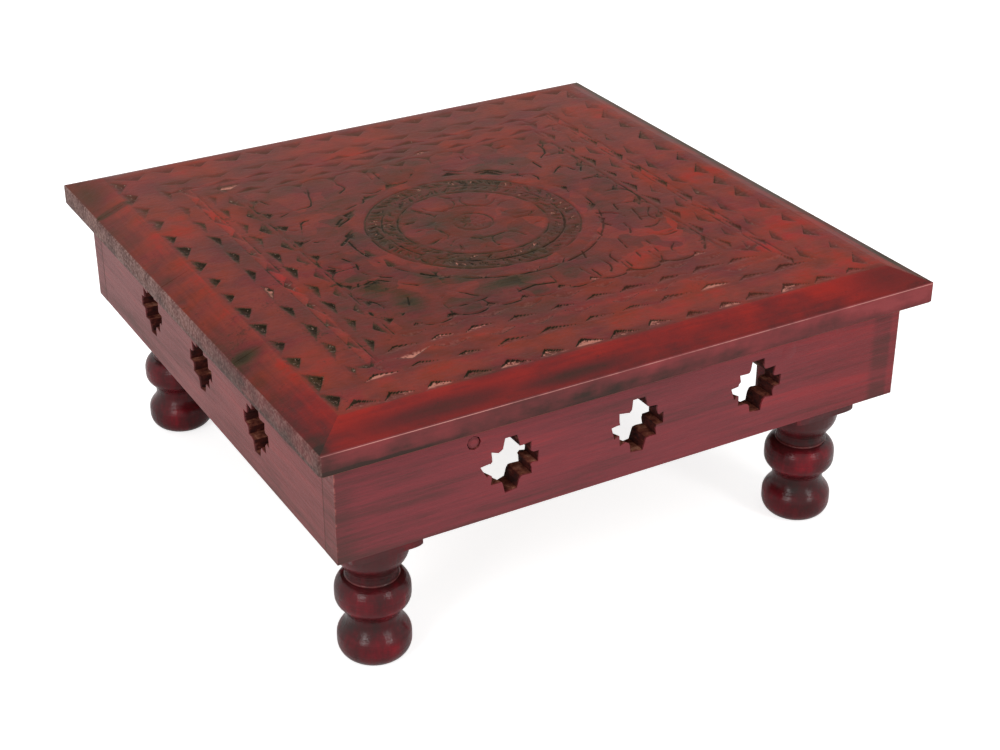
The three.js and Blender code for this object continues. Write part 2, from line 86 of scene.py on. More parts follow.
def make_camera():
    azimuth, elevation, roll = (math.radians(angle) for angle in CAMERA_ANGLES)
    back = Vector((math.sin(azimuth) * math.cos(elevation), -math.cos(azimuth) * math.cos(elevation),
                   math.sin(elevation)))
    right = Vector((0, 0, 1)).cross(back).normalized()
    up = back.cross(right)
    turned_right = right * math.cos(roll) + up * math.sin(roll)
    turned_up = up * math.cos(roll) - right * math.sin(roll)
    data = bpy.data.cameras.new("photo_camera")
    data.sensor_width = 36.0
    data.lens = data.sensor_width * FOCAL_PIXELS / PICTURE_WIDTH
    data.clip_start, data.clip_end = 0.02, 30
    camera = placed("photo_camera", data)
    place = Matrix((turned_right, turned_up, back)).transposed().to_4x4()
    place.translation = CAMERA_PLACE
    camera.matrix_world = place
    bpy.context.scene.camera = camera


def make_softbox(name, location, width, height, power):
    """A rectangular light that points at the table."""
    data = bpy.data.lights.new(name, "AREA")
    data.shape = "RECTANGLE"
    data.size, data.size_y, data.energy = width, height, power
    lamp = placed(name, data)
    lamp.location = location
    toward = Vector(LIT_PLACE) - lamp.location
    lamp.rotation_euler = toward.to_track_quat("-Z", "Y").to_euler()


def white_behind(graph, camera, mirrored):
    """One strength where the camera sees it, another in what gloss and glass show, and 0 for plain light."""
    path = graph.node("ShaderNodeLightPath").outputs
    gloss = graph.most(path["Is Glossy Ray"], path["Is Transmission Ray"])
    return graph.total(0.0, (path["Is Camera Ray"], camera), (gloss, mirrored))


def make_studio():
    make_softbox("left_softbox", (-1.5, -0.9, 1.0), 0.5, 0.7, 9)
    make_softbox("right_softbox", (0.6, -1.9, 1.0), 0.45, 0.65, 9)
    make_softbox("top_softbox", (0.1, 0.6, 1.9), 1.1, 1.1, 8)
    world = bpy.data.worlds.new("studio")
    bpy.context.scene.world = world
    world.use_nodes = True
    graph = Graph(world.node_tree)
    background = world.node_tree.nodes["Background"].inputs
    background["Color"].default_value = (1, 1, 1, 1)
    graph.feed(background["Strength"], white_behind(graph, 0.45, 0.45) + 0.55)
    corners = [(-1, -1), (1, -1), (1, 1), (-1, 1)]
    floor = object_from("floor", [(x * FLOOR_REACH, y * FLOOR_REACH, 0) for x, y in corners], [(0, 1, 2, 3)])
    material = bpy.data.materials.new("floor_white")
    material.use_nodes = True
    graph = Graph(material.node_tree)
    graph.tree.nodes.clear()
    paper = graph.value("ShaderNodeBsdfDiffuse", {"Color": (0.8, 0.8, 0.8, 1)})
    glow = graph.value("ShaderNodeEmission", {"Strength": white_behind(graph, 0.74, 0.2)})
    both = graph.value("ShaderNodeAddShader", {0: paper, 1: glow})
    graph.node("ShaderNodeOutputMaterial", {"Surface": both})
    floor.data.materials.append(material)
    bpy.context.scene.view_settings.view_transform = "Standard"


# Node trees

def linear(colour):
    """A colour picked in 0 to 255 display values, as the linear colour that nodes take."""
    shares = [value / 255 for value in colour]
    return tuple(s / 12.92 if s <= 0.04045 else ((s + 0.055) / 1.055) ** 2.4 for s in shares) + (1.0,)


def sign(operation, swapped=False):
    """What a sign does with a Value and the number or Value beside it: it adds a Math node."""
    def act(value, other):
        return value.graph.math(operation, *((other, value) if swapped else (value, other)))
    return act


class Value:
    """A node's output, on which the usual signs can be used."""
    __add__, __mul__ = sign("ADD"), sign("MULTIPLY")
    __sub__, __rsub__ = sign("SUBTRACT"), sign("SUBTRACT", True)
    __truediv__, __rtruediv__ = sign("DIVIDE"), sign("DIVIDE", True)
    __gt__, __lt__ = sign("GREATER_THAN"), sign("LESS_THAN")

    def __init__(self, graph, socket):
        self.graph = graph
        self.socket = socket

    def __neg__(self):
        return self * -1

    def __abs__(self):
        return self.graph.math("ABSOLUTE", self)


class Graph:
    """Adds nodes to one tree. An input takes a number, a vector, a Value or another node's socket."""

    def __init__(self, tree):
        self.tree = tree

    def feed(self, socket, value):
        value = value.socket if isinstance(value, Value) else value
        if isinstance(value, bpy.types.NodeSocket):
            self.tree.links.new(value, socket)
        else:
            socket.default_value = value

    def node(self, kind, values=None, **settings):
        node = self.tree.nodes.new(kind)
        for key, value in settings.items():
            setattr(node, key, value)
        for key, value in (values or {}).items():
            self.feed(node.inputs[key], value)
        return node

    def value(self, kind, values=None, output=0, **settings):
        """One output of a new node."""
        return Value(self, self.node(kind, values, **settings).outputs[output])

    def math(self, operation, *values):
        return self.value("ShaderNodeMath", dict(enumerate(values)), operation=operation)

    def vector(self, operation, *values):
        return self.value("ShaderNodeVectorMath", dict(enumerate(values)), operation=operation)

    def xyz(self, x, y, z):
        return self.value("ShaderNodeCombineXYZ", {"X": x, "Y": y, "Z": z})

    def parts(self, vector):
        outputs = self.node("ShaderNodeSeparateXYZ", {"Vector": vector}).outputs
        return [Value(self, socket) for socket in outputs]

    def most(self, first, *others):
        for other in others:
            first = self.math("MAXIMUM", first, other)
        return first

    def least(self, first, second):
        return self.math("MINIMUM", first, second)

    def total(self, first, *shares):
        """first plus each (value, weight) of shares."""
        for value, weight in shares:
            first = self.math("MULTIPLY_ADD", value, weight, first)
        return first

    def between(self, share, first, second):
        """The number that lies this share of the way from first to second."""
        return self.value("ShaderNodeMix", {0: share, 2: first, 3: second})

    def fade(self, value, low, high, start=0.0, end=1.0):
        """start below low, end above high, and a smooth change between them."""
        values = {"Value": value, "From Min": low, "From Max": high, "To Min": start, "To Max": end}
        return self.value("ShaderNodeMapRange", values, interpolation_type="SMOOTHSTEP")

    def noise(self, vector, scale, detail=3.0, roughness=0.55):
        """Noise from 0 to 1. In a finish, scale may also hold one number for each axis."""
        if isinstance(scale, tuple):
            vector, scale = self.value("ShaderNodeMapping", {"Vector": vector, "Scale": scale}), 1.0
        values = {"Vector": vector, "Scale": scale, "Detail": detail, "Roughness": roughness}
        return self.value("ShaderNodeTexNoise", values, "Fac")


class Finish(Graph):
    """A material. Its colours are given in 0 to 255 display values."""

    def __init__(self, name):
        self.material = bpy.data.materials.new(name)
        self.material.use_nodes = True
        super().__init__(self.material.node_tree)
        self.place = self.value("ShaderNodeTexCoord", output="Object")

    def attribute(self, name):
        return self.value("ShaderNodeAttribute", output="Fac", attribute_name=name)

    def mix(self, factor, first, second, blend="MIX"):
        node = self.node("ShaderNodeMix", data_type="RGBA", blend_type=blend)
        for key, value in ((0, factor), (6, first), (7, second)):
            self.feed(node.inputs[key], linear(value) if isinstance(value, tuple) else value)
        return node.outputs[2]

    def tint(self, factor, colour, light):
        """The colour as it looks in a tinted light, mixed in by factor."""
        return self.mix(factor, colour, self.mix(1.0, colour, light, "MULTIPLY"))

    def band(self, along, stops):
        """A change along the given places and linear colours."""
        node = self.node("ShaderNodeValToRGB", {"Fac": along})
        elements = node.color_ramp.elements
        while len(elements) < len(stops):
            elements.new(0.5)
        for element, (place, colour) in zip(elements, stops):
            element.position, element.color = place, colour
        return node.outputs["Color"]

    def ramp(self, along, *stops):
        """A change of colour. Each stop is a place and the three parts of a colour."""
        return self.band(along, [(place, linear(colour)) for place, *colour in stops])

    def levels(self, along, stops):
        """A change of a number. Each stop is a place and a level."""
        return self.band(along, [(place, (level, level, level, 1)) for place, level in stops])

    def done(self, colour, roughness, relief, depth, **others):
        """Feeds the shader, with relief raised by depth in metres, and gives the material."""
        bump = self.value("ShaderNodeBump", {"Height": relief, "Distance": depth, "Strength": 1.0})
        values = {"Base Color": colour, "Roughness": roughness, "Normal": bump, **others}
        for key, value in values.items():
            self.feed(self.tree.nodes["Principled BSDF"].inputs[key], value)
        return self.material


class ShapeTree(Graph):
    """A geometry tree with named inputs. run() applies it to an object and returns the plain mesh."""

    def __init__(self, name, material, **inputs):
        super().__init__(bpy.data.node_groups.new(name, "GeometryNodeTree"))
        self.material = material
        face = self.tree.interface
        face.new_socket("Geometry", in_out="INPUT", socket_type="NodeSocketGeometry")
        self.sockets = {}
        kinds = {float: "NodeSocketFloat", int: "NodeSocketInt", str: "NodeSocketObject"}
        for key, value in inputs.items():
            socket = face.new_socket(key, in_out="INPUT", socket_type=kinds[type(value)])
            self.sockets[key] = socket.identifier
            if not isinstance(value, str):
                socket.default_value = value
        face.new_socket("Geometry", in_out="OUTPUT", socket_type="NodeSocketGeometry")
        self.given = self.node("NodeGroupInput").outputs
        self.end = self.node("NodeGroupOutput")

    def __getitem__(self, key):
        return Value(self, self.given[key])

    def object_mesh(self, key):
        return self.value("GeometryNodeObjectInfo", {"Object": self[key]}, "Geometry")

    def random(self, low, high, which):
        """A number between low and high for each element; which keeps the draws of one seed apart."""
        values = {2: low, 3: high, "Seed": self["Seed"] + which * 17}
        return self.value("FunctionNodeRandomValue", values, 1, data_type="FLOAT")

    def heading(self, x, y, z):
        return self.value("FunctionNodeEulerToRotation", {0: self.xyz(x, y, z)})

    def keep(self, geometry, name, value, domain="POINT"):
        values = {"Geometry": geometry, "Name": name, "Value": value}
        return self.value("GeometryNodeStoreNamedAttribute", values, data_type="FLOAT", domain=domain)

    def named(self, name):
        return self.value("GeometryNodeInputNamedAttribute", {"Name": name}, data_type="FLOAT")

    def blurred(self, name, rounds):
        values = {"Value": self.named(name), "Iterations": rounds}
        return self.value("GeometryNodeBlurAttribute", values, data_type="FLOAT")

    def copies(self, points, key, heading, scale=(1, 1, 1)):
        """The object of the named input at each point."""
        values = {"Points": points, "Instance": self.object_mesh(key), "Rotation": heading, "Scale": scale}
        return self.value("GeometryNodeInstanceOnPoints", values)

    def set_chips(self, points, tilt, sizes, depths, share):
        """Chips at the points, each of its own size and depth. This share of them show bare wood."""
        size = self.random(*sizes, 3)
        scale = self.xyz(self["Width"] * MM * size, self["Length"] * MM * size,
                         self["Depth"] * MM * self.random(*depths, 4))
        chips = self.copies(points, "Chip", self.heading(0.0, 0.0, tilt), scale)
        chips = self.keep(chips, "raw", self.random(0.0, 1.0, 6) < share, "INSTANCE")
        self.finish(self.keep(chips, "wash", self["Wash"], "INSTANCE"))

    def finish(self, geometry):
        whole = self.value("GeometryNodeRealizeInstances", {"Geometry": geometry})
        values = {"Geometry": whole, "Material": self.material}
        self.feed(self.end.inputs[0], self.value("GeometryNodeSetMaterial", values))

    def run(self, start, name, **values):
        """The mesh that the tree makes from start, as a new plain object; start itself goes."""
        modifier = start.modifiers.new("shape", "NODES")
        modifier.node_group = self.tree
        for key, value in values.items():
            modifier[self.sockets[key]] = value
        start.update_tag()
        mesh = evaluated(start)
        mesh.name = name
        bpy.data.objects.remove(start)
        return placed(name, mesh)


# Meshes

def placed(name, data):
    """A new object in the scene."""
    made = bpy.data.objects.new(name, data)
    bpy.context.scene.collection.objects.link(made)
    return made


def object_from(name, points, faces, edges=()):
    mesh = bpy.data.meshes.new(name)
    mesh.from_pydata([tuple(p) for p in points], edges, faces)
    mesh.validate()
    return placed(name, mesh)


def evaluated(piece):
    """A new mesh with the piece's modifiers applied."""
    bpy.context.view_layer.update()
    return bpy.data.meshes.new_from_object(piece.evaluated_get(bpy.context.evaluated_depsgraph_get()))


def carry(piece, name, values):
    """Stores a number for each point of a piece."""
    piece.data.attributes.new(name, "FLOAT", "POINT").data.foreach_set("value", values)


def smooth(piece, sharpest):
    """Smooth shading, with a crease wherever two faces meet at more than the given angle."""
    piece.data.shade_smooth()
    piece.data.set_sharp_from_angle(angle=math.radians(sharpest))


def dress(piece, material, slot, *nodes):
    """A finished piece: its material, the body it rides on and the nodes it stands for. Its slot is not used.
    """
    piece.data.materials.clear()
    piece.data.materials.append(material)
    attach(piece, "root")
    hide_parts(*nodes)


# The carving's cutters

def chip_shape():
    """A chip one unit wide, long and deep: base on X at Y 0, apex at Y 1, mouth carried on above the surface.

    Each facet has its own corners. Its "floor" is 1 on the broad facet that rises to the base and 0 on the
    two others.
    """
    deep, lift = Vector((-0.1, 0.83, -1)), 1.5
    mouth = [deep + (Vector(corner) - deep) * lift for corner in ((-0.5, 0, 0), (0.5, 0, 0), (-0.12, 1, 0))]
    points, tones = [], []
    for corners, tone in (((1, 0), 1.0), ((2, 1), 0.0), ((0, 2), 0.0)):
        points += [deep, mouth[corners[0]], mouth[corners[1]]]
        tones += [tone] * 3
    chip = object_from("chip_shape", points, [(0, 1, 2), (3, 4, 5), (6, 7, 8)])
    carry(chip, "floor", tones)
    chip.hide_render = True
    return chip


def row_tree(material):
    """Chips in a row along each of the four sides of the field."""
    t = ShapeTree("chip_row", material, Chip="", Count=15, Run=300.0, Base=168.5, Length=9.5, Width=17.0,
                  Depth=2.4, Jitter=0.05, Slide=0.0, Raw=0.2, Wash=1.0, Seed=LAYOUT_SEED)
    index = t.value("GeometryNodeInputIndex")
    side = t.math("FLOOR", (index + 0.5) / t["Count"])
    place = index - side * t["Count"]
    pitch = t["Run"] / t["Count"]
    wander = pitch * t["Jitter"]
    along = (place + 0.5) * pitch - t["Run"] * 0.5
    along = along + t.random(-wander, wander, 1)
    on_front = side < 0.5
    on_back_or_left = side > 1.5
    along = t.total(along, (t["Slide"], t.total(1.0, (on_back_or_left, -2.0))))
    reach = -(t["Base"] + t.random(-0.5, 0.5, 2))
    angle = side * (math.pi / 2)
    turn = t.value("ShaderNodeVectorRotate", {"Vector": t.xyz(along, reach, 0.0), "Angle": angle},
                   rotation_type="Z_AXIS")
    position = t.vector("MULTIPLY", turn, (MM, MM, MM))
    points = t.value("GeometryNodePoints", {"Count": t["Count"] * 4, "Position": position})
    # Most of the chips with bare wood lie along the front, more of them on its left half
    toward_left = on_front * t.fade(along, 10.0, 110.0, 1.0, 0.3)
    far_right = (1.0 - on_front - on_back_or_left) * t.fade(along, 60.0, 90.0)
    share = t["Raw"] * t.total(0.08, (toward_left, 0.92), (on_back_or_left, -0.05), (far_right, -0.08))
    t.set_chips(points, angle + t.random(-0.12, 0.12, 5), (0.78, 1.14), (0.7, 1.25), share)
    return t


def ring_tree(material):
    """Chips set round the middle of the field."""
    t = ShapeTree("chip_ring", material, Chip="", Count=24, Radius=77.0, Length=7.0, Width=8.0, Depth=2.0,
                  Slant=0.0, Start=0.0, Jitter=0.05, Tilt=0.2, Raw=0.1, Wash=1.0, Seed=LAYOUT_SEED)
    step = 2 * math.pi / t["Count"]
    angle = t.value("GeometryNodeInputIndex") * step + t["Start"]
    wander = step * t["Jitter"]
    angle = angle + t.random(-wander, wander, 1)
    radius = (t["Radius"] + t.random(-0.4, 0.4, 2)) * MM
    place = t.xyz(t.math("COSINE", angle) * radius, t.math("SINE", angle) * radius, 0.0)
    points = t.value("GeometryNodePoints", {"Count": t["Count"], "Position": place})
    tilt = angle + t["Slant"] + t.random(-t["Tilt"], t["Tilt"], 5)
    t.set_chips(points, tilt - math.pi / 2, (0.85, 1.12), (0.6, 1.2), t["Raw"])
    return t


def joined(name, pieces):
    """Several temporary meshes as one, with the numbers that each point carries."""
    points, faces, kept = [], [], {"raw": [], "floor": [], "wash": []}
    for piece in pieces:
        first = len(points)
        points += [tuple(vertex.co) for vertex in piece.data.vertices]
        faces += [tuple(first + i for i in face.vertices) for face in piece.data.polygons]
        for key, values in kept.items():
            held = np.zeros(len(piece.data.vertices), np.float32)
            piece.data.attributes[key].data.foreach_get("value", held)
            values += held.tolist()
        bpy.data.objects.remove(piece)
    whole = object_from(name, points, faces)
    for key, values in kept.items():
        carry(whole, key, values)
    whole.hide_render = True
    return whole


# Distances of the carved rows from the table's edge, and radii of the medallion's circles
BORDER, OUTER, RIDGE, INNER, FRAME_LINE = 22.3, 45.0, 57.9, 66.0, 84.2
MEDALLION = (77.0, 64.0, 54.3, 44.8, 23.8, 12.0)
ROPE_RADII = (64.0, 44.8)
ROW_END_GAP = 3.0
# The whole pattern was laid out a little towards the front left
PATTERN_SHIFT = (-2.0, -2.0)


def carve_cutters(material):
    """Every chip of the field as one mesh: the rows along the sides and the rings round the middle."""
    chip = chip_shape()
    rows, rings = row_tree(material), ring_tree(material)
    made = []

    def add(tree, name, seed, **values):
        start = object_from("start", [], [])
        made.append(tree.run(start, name, Chip=chip, Seed=LAYOUT_SEED + seed, **values))

    def row(name, base, apex, count, depth, share, raw, seed, wash=1.0, run=None, slide=0.0):
        run = run or 2 * (TOP_HALF - min(base, apex) - ROW_END_GAP)
        add(rows, name, seed, Count=count, Run=run, Base=TOP_HALF - base, Length=apex - base,
            Width=run / count * share, Depth=depth, Jitter=0.06, Slide=slide, Raw=raw, Wash=wash)

    def ring(name, radius, length, count, width, depth, slant, seed, start=0.0, wash=0.6, tilt=0.2, raw=0.1):
        add(rings, name, seed, Count=count, Radius=radius, Length=length, Width=width, Depth=depth,
            Slant=slant, Start=start, Jitter=0.3, Tilt=tilt, Raw=raw, Wash=wash)

    row("border_chips", BORDER, BORDER + 9, 15, 1.9, 1.05, 0.75, 0)
    for step, (start, count, slide) in enumerate(((OUTER, 11, -3.5), (INNER, 10, -1.0))):
        far = start + 18 - 1.5 * step
        run = 2 * (TOP_HALF - start - 4)
        row("outer_chips", start, start + 6.6, count, 1.45, 1.12, 0.3, 3 + step, run=run, slide=slide)
        row("inner_chips", far, far - 6.4, count, 1.35, 1.08, 0.15, 8 + step, wash=0.9, run=run,
            slide=slide + 12.3 * step)
    cusp = FRAME_LINE + 1.3
    row("petal_cusps", cusp, cusp + 6.5, 9, 1.5, 0.6, 0.2, 11)
    ring("ring_cusps", 70.5, 7.5, 17, 19, 1.3, 0.0, 13, start=0.206, wash=1.0)
    for name, radius, length, count, width, depth, slant, start in (
            ("rope_outer", 63.4, -9, 80, 3.2, 1.5, 0.65, 0.0),
            ("rope_outer_cross", 55.6, 8.2, 66, 2.6, 1.3, 0.5, 0.05),
            ("rope_middle", 57.5, -6.0, 58, 2.4, 1.2, -0.9, 0.02),
            ("rope_inner", 46.0, 8.0, 64, 2.8, 1.4, -0.65, 0.0),
            ("rope_inner_cross", 53.8, -7.4, 58, 2.4, 1.1, -0.5, 0.06)):
        ring(name, radius, length, count, width, depth, slant, 17 + count, start,
             wash=0.75, tilt=0.6, raw=0.16)
    ring("rosette_cuts", 43.6, -13.0, 9, 3.4, 1.5, 0.3, 31, start=0.1, wash=0.9, tilt=0.5, raw=0.0)
    ring("boss_stamps", 3.0, 6.5, 14, 2.2, 1.1, 0.5, 37)
    ring("boss_core", 0.8, 3.0, 6, 1.6, 1.0, 0.3, 39)
    whole = joined("all_chips", made)
    bpy.data.objects.remove(chip)
    return whole


def wavering(points, amount, source):
    """A drawn line with the slight wander of a hand-held gouge."""
    return [(x + source.uniform(-amount, amount), y + source.uniform(-amount, amount)) for x, y in points]


def arc(centre, radius, start, end, steps, rise=None):
    """Places on an arc between two angles in degrees; rise is the half height of one that is no circle."""
    rise = radius if rise is None else rise
    angles = [math.radians(start + (end - start) * i / steps) for i in range(steps + 1)]
    return [(centre[0] + radius * math.cos(a), centre[1] + rise * math.sin(a)) for a in angles]


def quarter_turn(points, quarter):
    for _ in range(quarter):
        points = [(-y, x) for x, y in points]
    return points


def smoothed(corners):
    """A curve through the given places."""
    steps = 4
    places = [corners[0]] + list(corners) + [corners[-1]]
    curve = []
    for a, b, c, d in zip(places, places[1:], places[2:], places[3:]):
        for i in range(steps):
            t = i / steps
            curve.append(tuple(0.5 * (2 * q + (r - p) * t + (2 * p - 5 * q + 4 * r - o) * t * t
                                      + (3 * q - p - 3 * r + o) * t ** 3) for p, q, r, o in zip(a, b, c, d)))
    return curve + [corners[-1]]


# The foliage between the ring and the frame, cut by hand and different in each corner
FOLIAGE_CUTS = (
    # front right
    ((74, -73), (72, -88), (68, -99)), ((61, -63), (60, -70), (59, -76)),
    ((48, -76), (44, -81), (44, -90)), ((76, -46), (75, -54), (72, -60)),
    ((92, -31), (90, -40), (88, -47)), ((66, -37), (66, -41), (68, -45)), ((49, -87), (48, -98)),
    ((34, -67), (31, -76)), ((98, -52), (90, -58), (84, -57)), ((86, -84), (80, -90), (80, -98)),
    ((60, -84), (58, -92), (52, -99)), ((70, -26), (78, -30), (82, -38)),
    ((102, -34), (96, -42), (96, -50)), ((92, -14), (86, -20), (84, -28)),
    ((36, -80), (38, -90), (34, -98)), ((80, -66), (88, -72), (98, -71)), ((26, -90), (26, -100)),
    # back right
    ((37, 65), (47, 64), (54, 53)), ((55, 50), (67, 44), (67, 36)), ((78, 62), (78, 52)),
    ((62, 70), (65, 65)), ((80, 40), (90, 48), (94, 38)), ((97, 35), (105, 48)), ((106, 72), (101, 64)),
    ((97, 82), (104, 92)), ((42, 92), (41, 88)), ((60, 84), (66, 92), (78, 95)),
    ((86, 66), (94, 74), (96, 86)), ((22, 78), (32, 70)),
    # back left
    ((-65, 94), (-68, 84), (-72, 72), (-76, 68), (-86, 67), (-96, 63)),
    ((-103, 50), (-100, 43), (-96, 39)), ((-18, 97), (-19, 82), (-17, 75), (-12, 73), (-6, 74), (2, 83)),
    ((-38, 70), (-32, 68), (-26, 70)), ((-42, 62), (-45, 57), (-51, 56), (-58, 53)),
    ((-62, 40), (-68, 36), (-73, 32)), ((-97, 90), (-95, 82)), ((-84, 50), (-90, 47), (-98, 26)),
    ((-46, 92), (-44, 84), (-50, 78)), ((-94, 20), (-88, 18)),
    # front left
    ((-96, -45), (-86, -43), (-78, -50), (-68, -60)), ((-58, -73), (-50, -82), (-44, -91)),
    ((-64, -80), (-58, -76)), ((-98, -46), (-96, -42)), ((-104, -58), (-98, -68), (-97, -76)),
    ((-92, -88), (-84, -80), (-80, -70)), ((-66, -93), (-54, -94), (-42, -92)),
    ((-88, -30), (-84, -38), (-76, -44)), ((-101, -14), (-96, -20)), ((-24, -94), (-12, -92), (0, -95)),
    ((-90, -8), (-86, -18), (-88, -26)),
)
LEAF_CUTS = (
    ((104, -44), (100, -51), (96, -57)), ((106, -85), (102, -92), (97, -99)),
    ((105, -19), (101, -25), (98, -30)), ((-60, -47), (-56, -52), (-51, -56)),
    ((-82, 8), (-76, 14), (-70, 20)), ((-72, 36), (-66, 42)),
)


def line_mesh(name, strokes):
    points, edges = [], []
    for stroke in strokes:
        edges += [(len(points) + i, len(points) + i + 1) for i in range(len(stroke) - 1)]
        points += [(x * MM, y * MM, 0) for x, y in stroke]
    made = object_from(name, points, [], edges)
    made.hide_render = True
    return made


def scribed_lines():
    """The drawn cuts of the field: clear ones, faint ones and the broader leaf cuts of the corners."""
    source = random.Random(LAYOUT_SEED)
    clear, faint = [], []
    for radius in MEDALLION[1:]:
        kind = clear if radius in ROPE_RADII else faint
        kind.append(wavering(arc((0, 0), radius, 0, 360, 72), 0.25, source))
    clear.append(wavering(arc((0, 0), 54.0, 190, 345, 40), 0.35, source))
    clear.append(wavering(arc((0, 0), MEDALLION[0], 172, 368, 40), 0.12, source))
    reach = TOP_HALF - FRAME_LINE
    for inset in (RIDGE - 0.6, INNER - 3.2, FRAME_LINE):
        edge = TOP_HALF - inset
        for quarter in (1, 3):
            side = [(-edge + 2 * edge * i / 24, -edge) for i in range(25)]
            faint.append(quarter_turn(wavering(side, 0.3, source), quarter))
    # Petals: a bowl between each two cusps, and lines of uneven length from the cusps inwards
    pitch = 2 * (reach - 1.6 - ROW_END_GAP) / 9
    for quarter in range(4):
        for k in range(9):
            middle = (k - 4) * pitch
            if 0 < k < 8:
                length, lean = source.uniform(6, 15), source.uniform(-2.5, 2.5)
                line = [(middle + lean * i / 5, -reach + 7.4 + length * i / 5) for i in range(6)]
                faint.append(quarter_turn(wavering(line, 0.25, source), quarter))
            if k < 8:
                half = pitch / 2 - 0.6
                rise = source.uniform(0.5, 0.66) * half
                bowl = arc((middle + pitch / 2, -reach + 6.4), half, 182, 358, 10, rise)
                (clear if quarter == 0 else faint).append(quarter_turn(wavering(bowl, 0.25, source), quarter))
    clear += [wavering(smoothed(cut), 0.25, source) for cut in FOLIAGE_CUTS]
    leaf = [wavering(smoothed(cut), 0.25, source) for cut in LEAF_CUTS]
    # Overlapping petals of the rosette
    for k in range(8):
        angle = 45 * k + 12
        centre = (33 * math.cos(math.radians(angle)), 33 * math.sin(math.radians(angle)))
        faint.append(wavering(arc(centre, 10.5, angle + 80, angle + 280, 9), 0.3, source))
    return line_mesh("clear_lines", clear), line_mesh("faint_lines", faint), line_mesh("leaf_cuts", leaf)


# The four boards

def graded(start, end, step, fine_start, fine_end):
    """Grid lines from start to end, with extra ones close to an end that is rounded."""
    near = [0, 0.12, 0.32, 0.6, 0.95, 1.4]
    low = [start + d for d in near] if fine_start else [start]
    high = [end - d for d in reversed(near)] if fine_end else [end]
    count = max(1, round((high[0] - low[-1]) / step))
    between = [low[-1] + (high[0] - low[-1]) * i / count for i in range(1, count)]
    return low + between + high


def lines_across(low, high, outer_low, outer_high):
    """Grid lines across the top: wide ones on the plain bevel, narrow ones on the carved field."""
    bevel_step, field_step = 1.25, 0.66
    lines = []
    start = low
    if outer_low:
        lines += graded(low, low + BEVEL, bevel_step, True, False)[:-1]
        start = low + BEVEL
    end = high - BEVEL if outer_high else high
    lines += graded(start, end, field_step, not outer_low, not outer_high)
    if outer_high:
        lines += graded(end, high, bevel_step, False, True)[1:]
    return lines


def top_height(inset):
    """Height of the plain top over its underside at a distance from the table's edge."""
    slope = EDGE_HEIGHT + (THICKNESS - EDGE_HEIGHT) * inset / BEVEL
    soft = 0.7
    level = 0.5 * (slope + THICKNESS - np.sqrt((slope - THICKNESS) ** 2 + soft))
    arris = 0.7
    inside = np.clip(arris - inset, 0, arris)
    return level - (arris - np.sqrt(np.maximum(arris ** 2 - inside ** 2, 0)))


def board_blank(name, low, high, outer_low, outer_high):
    """A board before it is carved: a fine grid on top, four walls and an underside."""
    xs = np.array(lines_across(-TOP_HALF, TOP_HALF, True, True))
    ys = np.array(lines_across(low, high, outer_low, outer_high))
    # Worn arrises along the joints of the plain border, and rounded corners
    joint_reach, joint_drop, corner = 0.6, 0.3, 2.0
    columns, rows = len(xs), len(ys)
    gx, gy = np.meshgrid(xs, ys)
    inset_x = TOP_HALF - np.abs(gx)
    inset_y = TOP_HALF - np.abs(gy)
    z = top_height(np.minimum(inset_x, inset_y))
    for edge, rounded in ((low, not outer_low), (high, not outer_high)):
        if rounded:
            near = np.clip(1 - np.abs(gy - edge) / joint_reach, 0, 1)
            z = z - joint_drop * near ** 2 * (inset_x < 17)
    dx, dy = np.maximum(corner - inset_x, 0), np.maximum(corner - inset_y, 0)
    far = np.maximum(np.hypot(dx, dy), 1e-9)
    pull = np.where((dx > 0) & (dy > 0) & (far > corner), corner / far, 1.0)
    gx = np.sign(gx) * (TOP_HALF - corner + dx * pull) * (dx > 0) + gx * (dx <= 0)
    gy = np.sign(gy) * (TOP_HALF - corner + dy * pull) * (dy > 0) + gy * (dy <= 0)
    top = np.stack([gx, gy, z], -1).reshape(-1, 3)
    grid = np.arange(rows * columns).reshape(rows, columns)
    faces = np.stack([grid[:-1, :-1], grid[:-1, 1:], grid[1:, 1:], grid[1:, :-1]], -1).reshape(-1, 4)
    rim = np.concatenate([grid[0, :], grid[1:, -1], grid[-1, -2::-1], grid[-2:0:-1, 0]])
    count = len(rim)
    points, quads, above = [top], [faces], rim
    # The walls, which draw in at their foot
    for height, draw in ((9.0, 0.0), (4.5, 0.0), (0.7, 0.0), (0.0, 0.6)):
        ring = top[rim].copy()
        ring[:, 2] = np.minimum(height, ring[:, 2] - 0.5)
        if draw:
            ring[:, 0] -= draw * np.sign(ring[:, 0]) * (TOP_HALF - np.abs(ring[:, 0]) < 2)
            ring[:, 1] += np.where(ring[:, 1] < low + 2, draw, 0) - np.where(ring[:, 1] > high - 2, draw, 0)
        below = sum(len(p) for p in points) + np.arange(count)
        points.append(ring)
        quads.append(np.stack([above, below, np.roll(below, -1), np.roll(above, -1)], -1))
        above = below
    points = np.concatenate(points)
    points[:, 2] += UNDERSIDE
    faces = np.concatenate(quads).tolist() + [above[::-1].tolist()]
    blank = object_from(name, points * MM, faces)
    carved = np.zeros(len(points), np.float32)
    carved[:rows * columns] = (np.minimum(inset_x, inset_y) > 19).reshape(-1)
    carry(blank, "carvable", carved)
    return blank


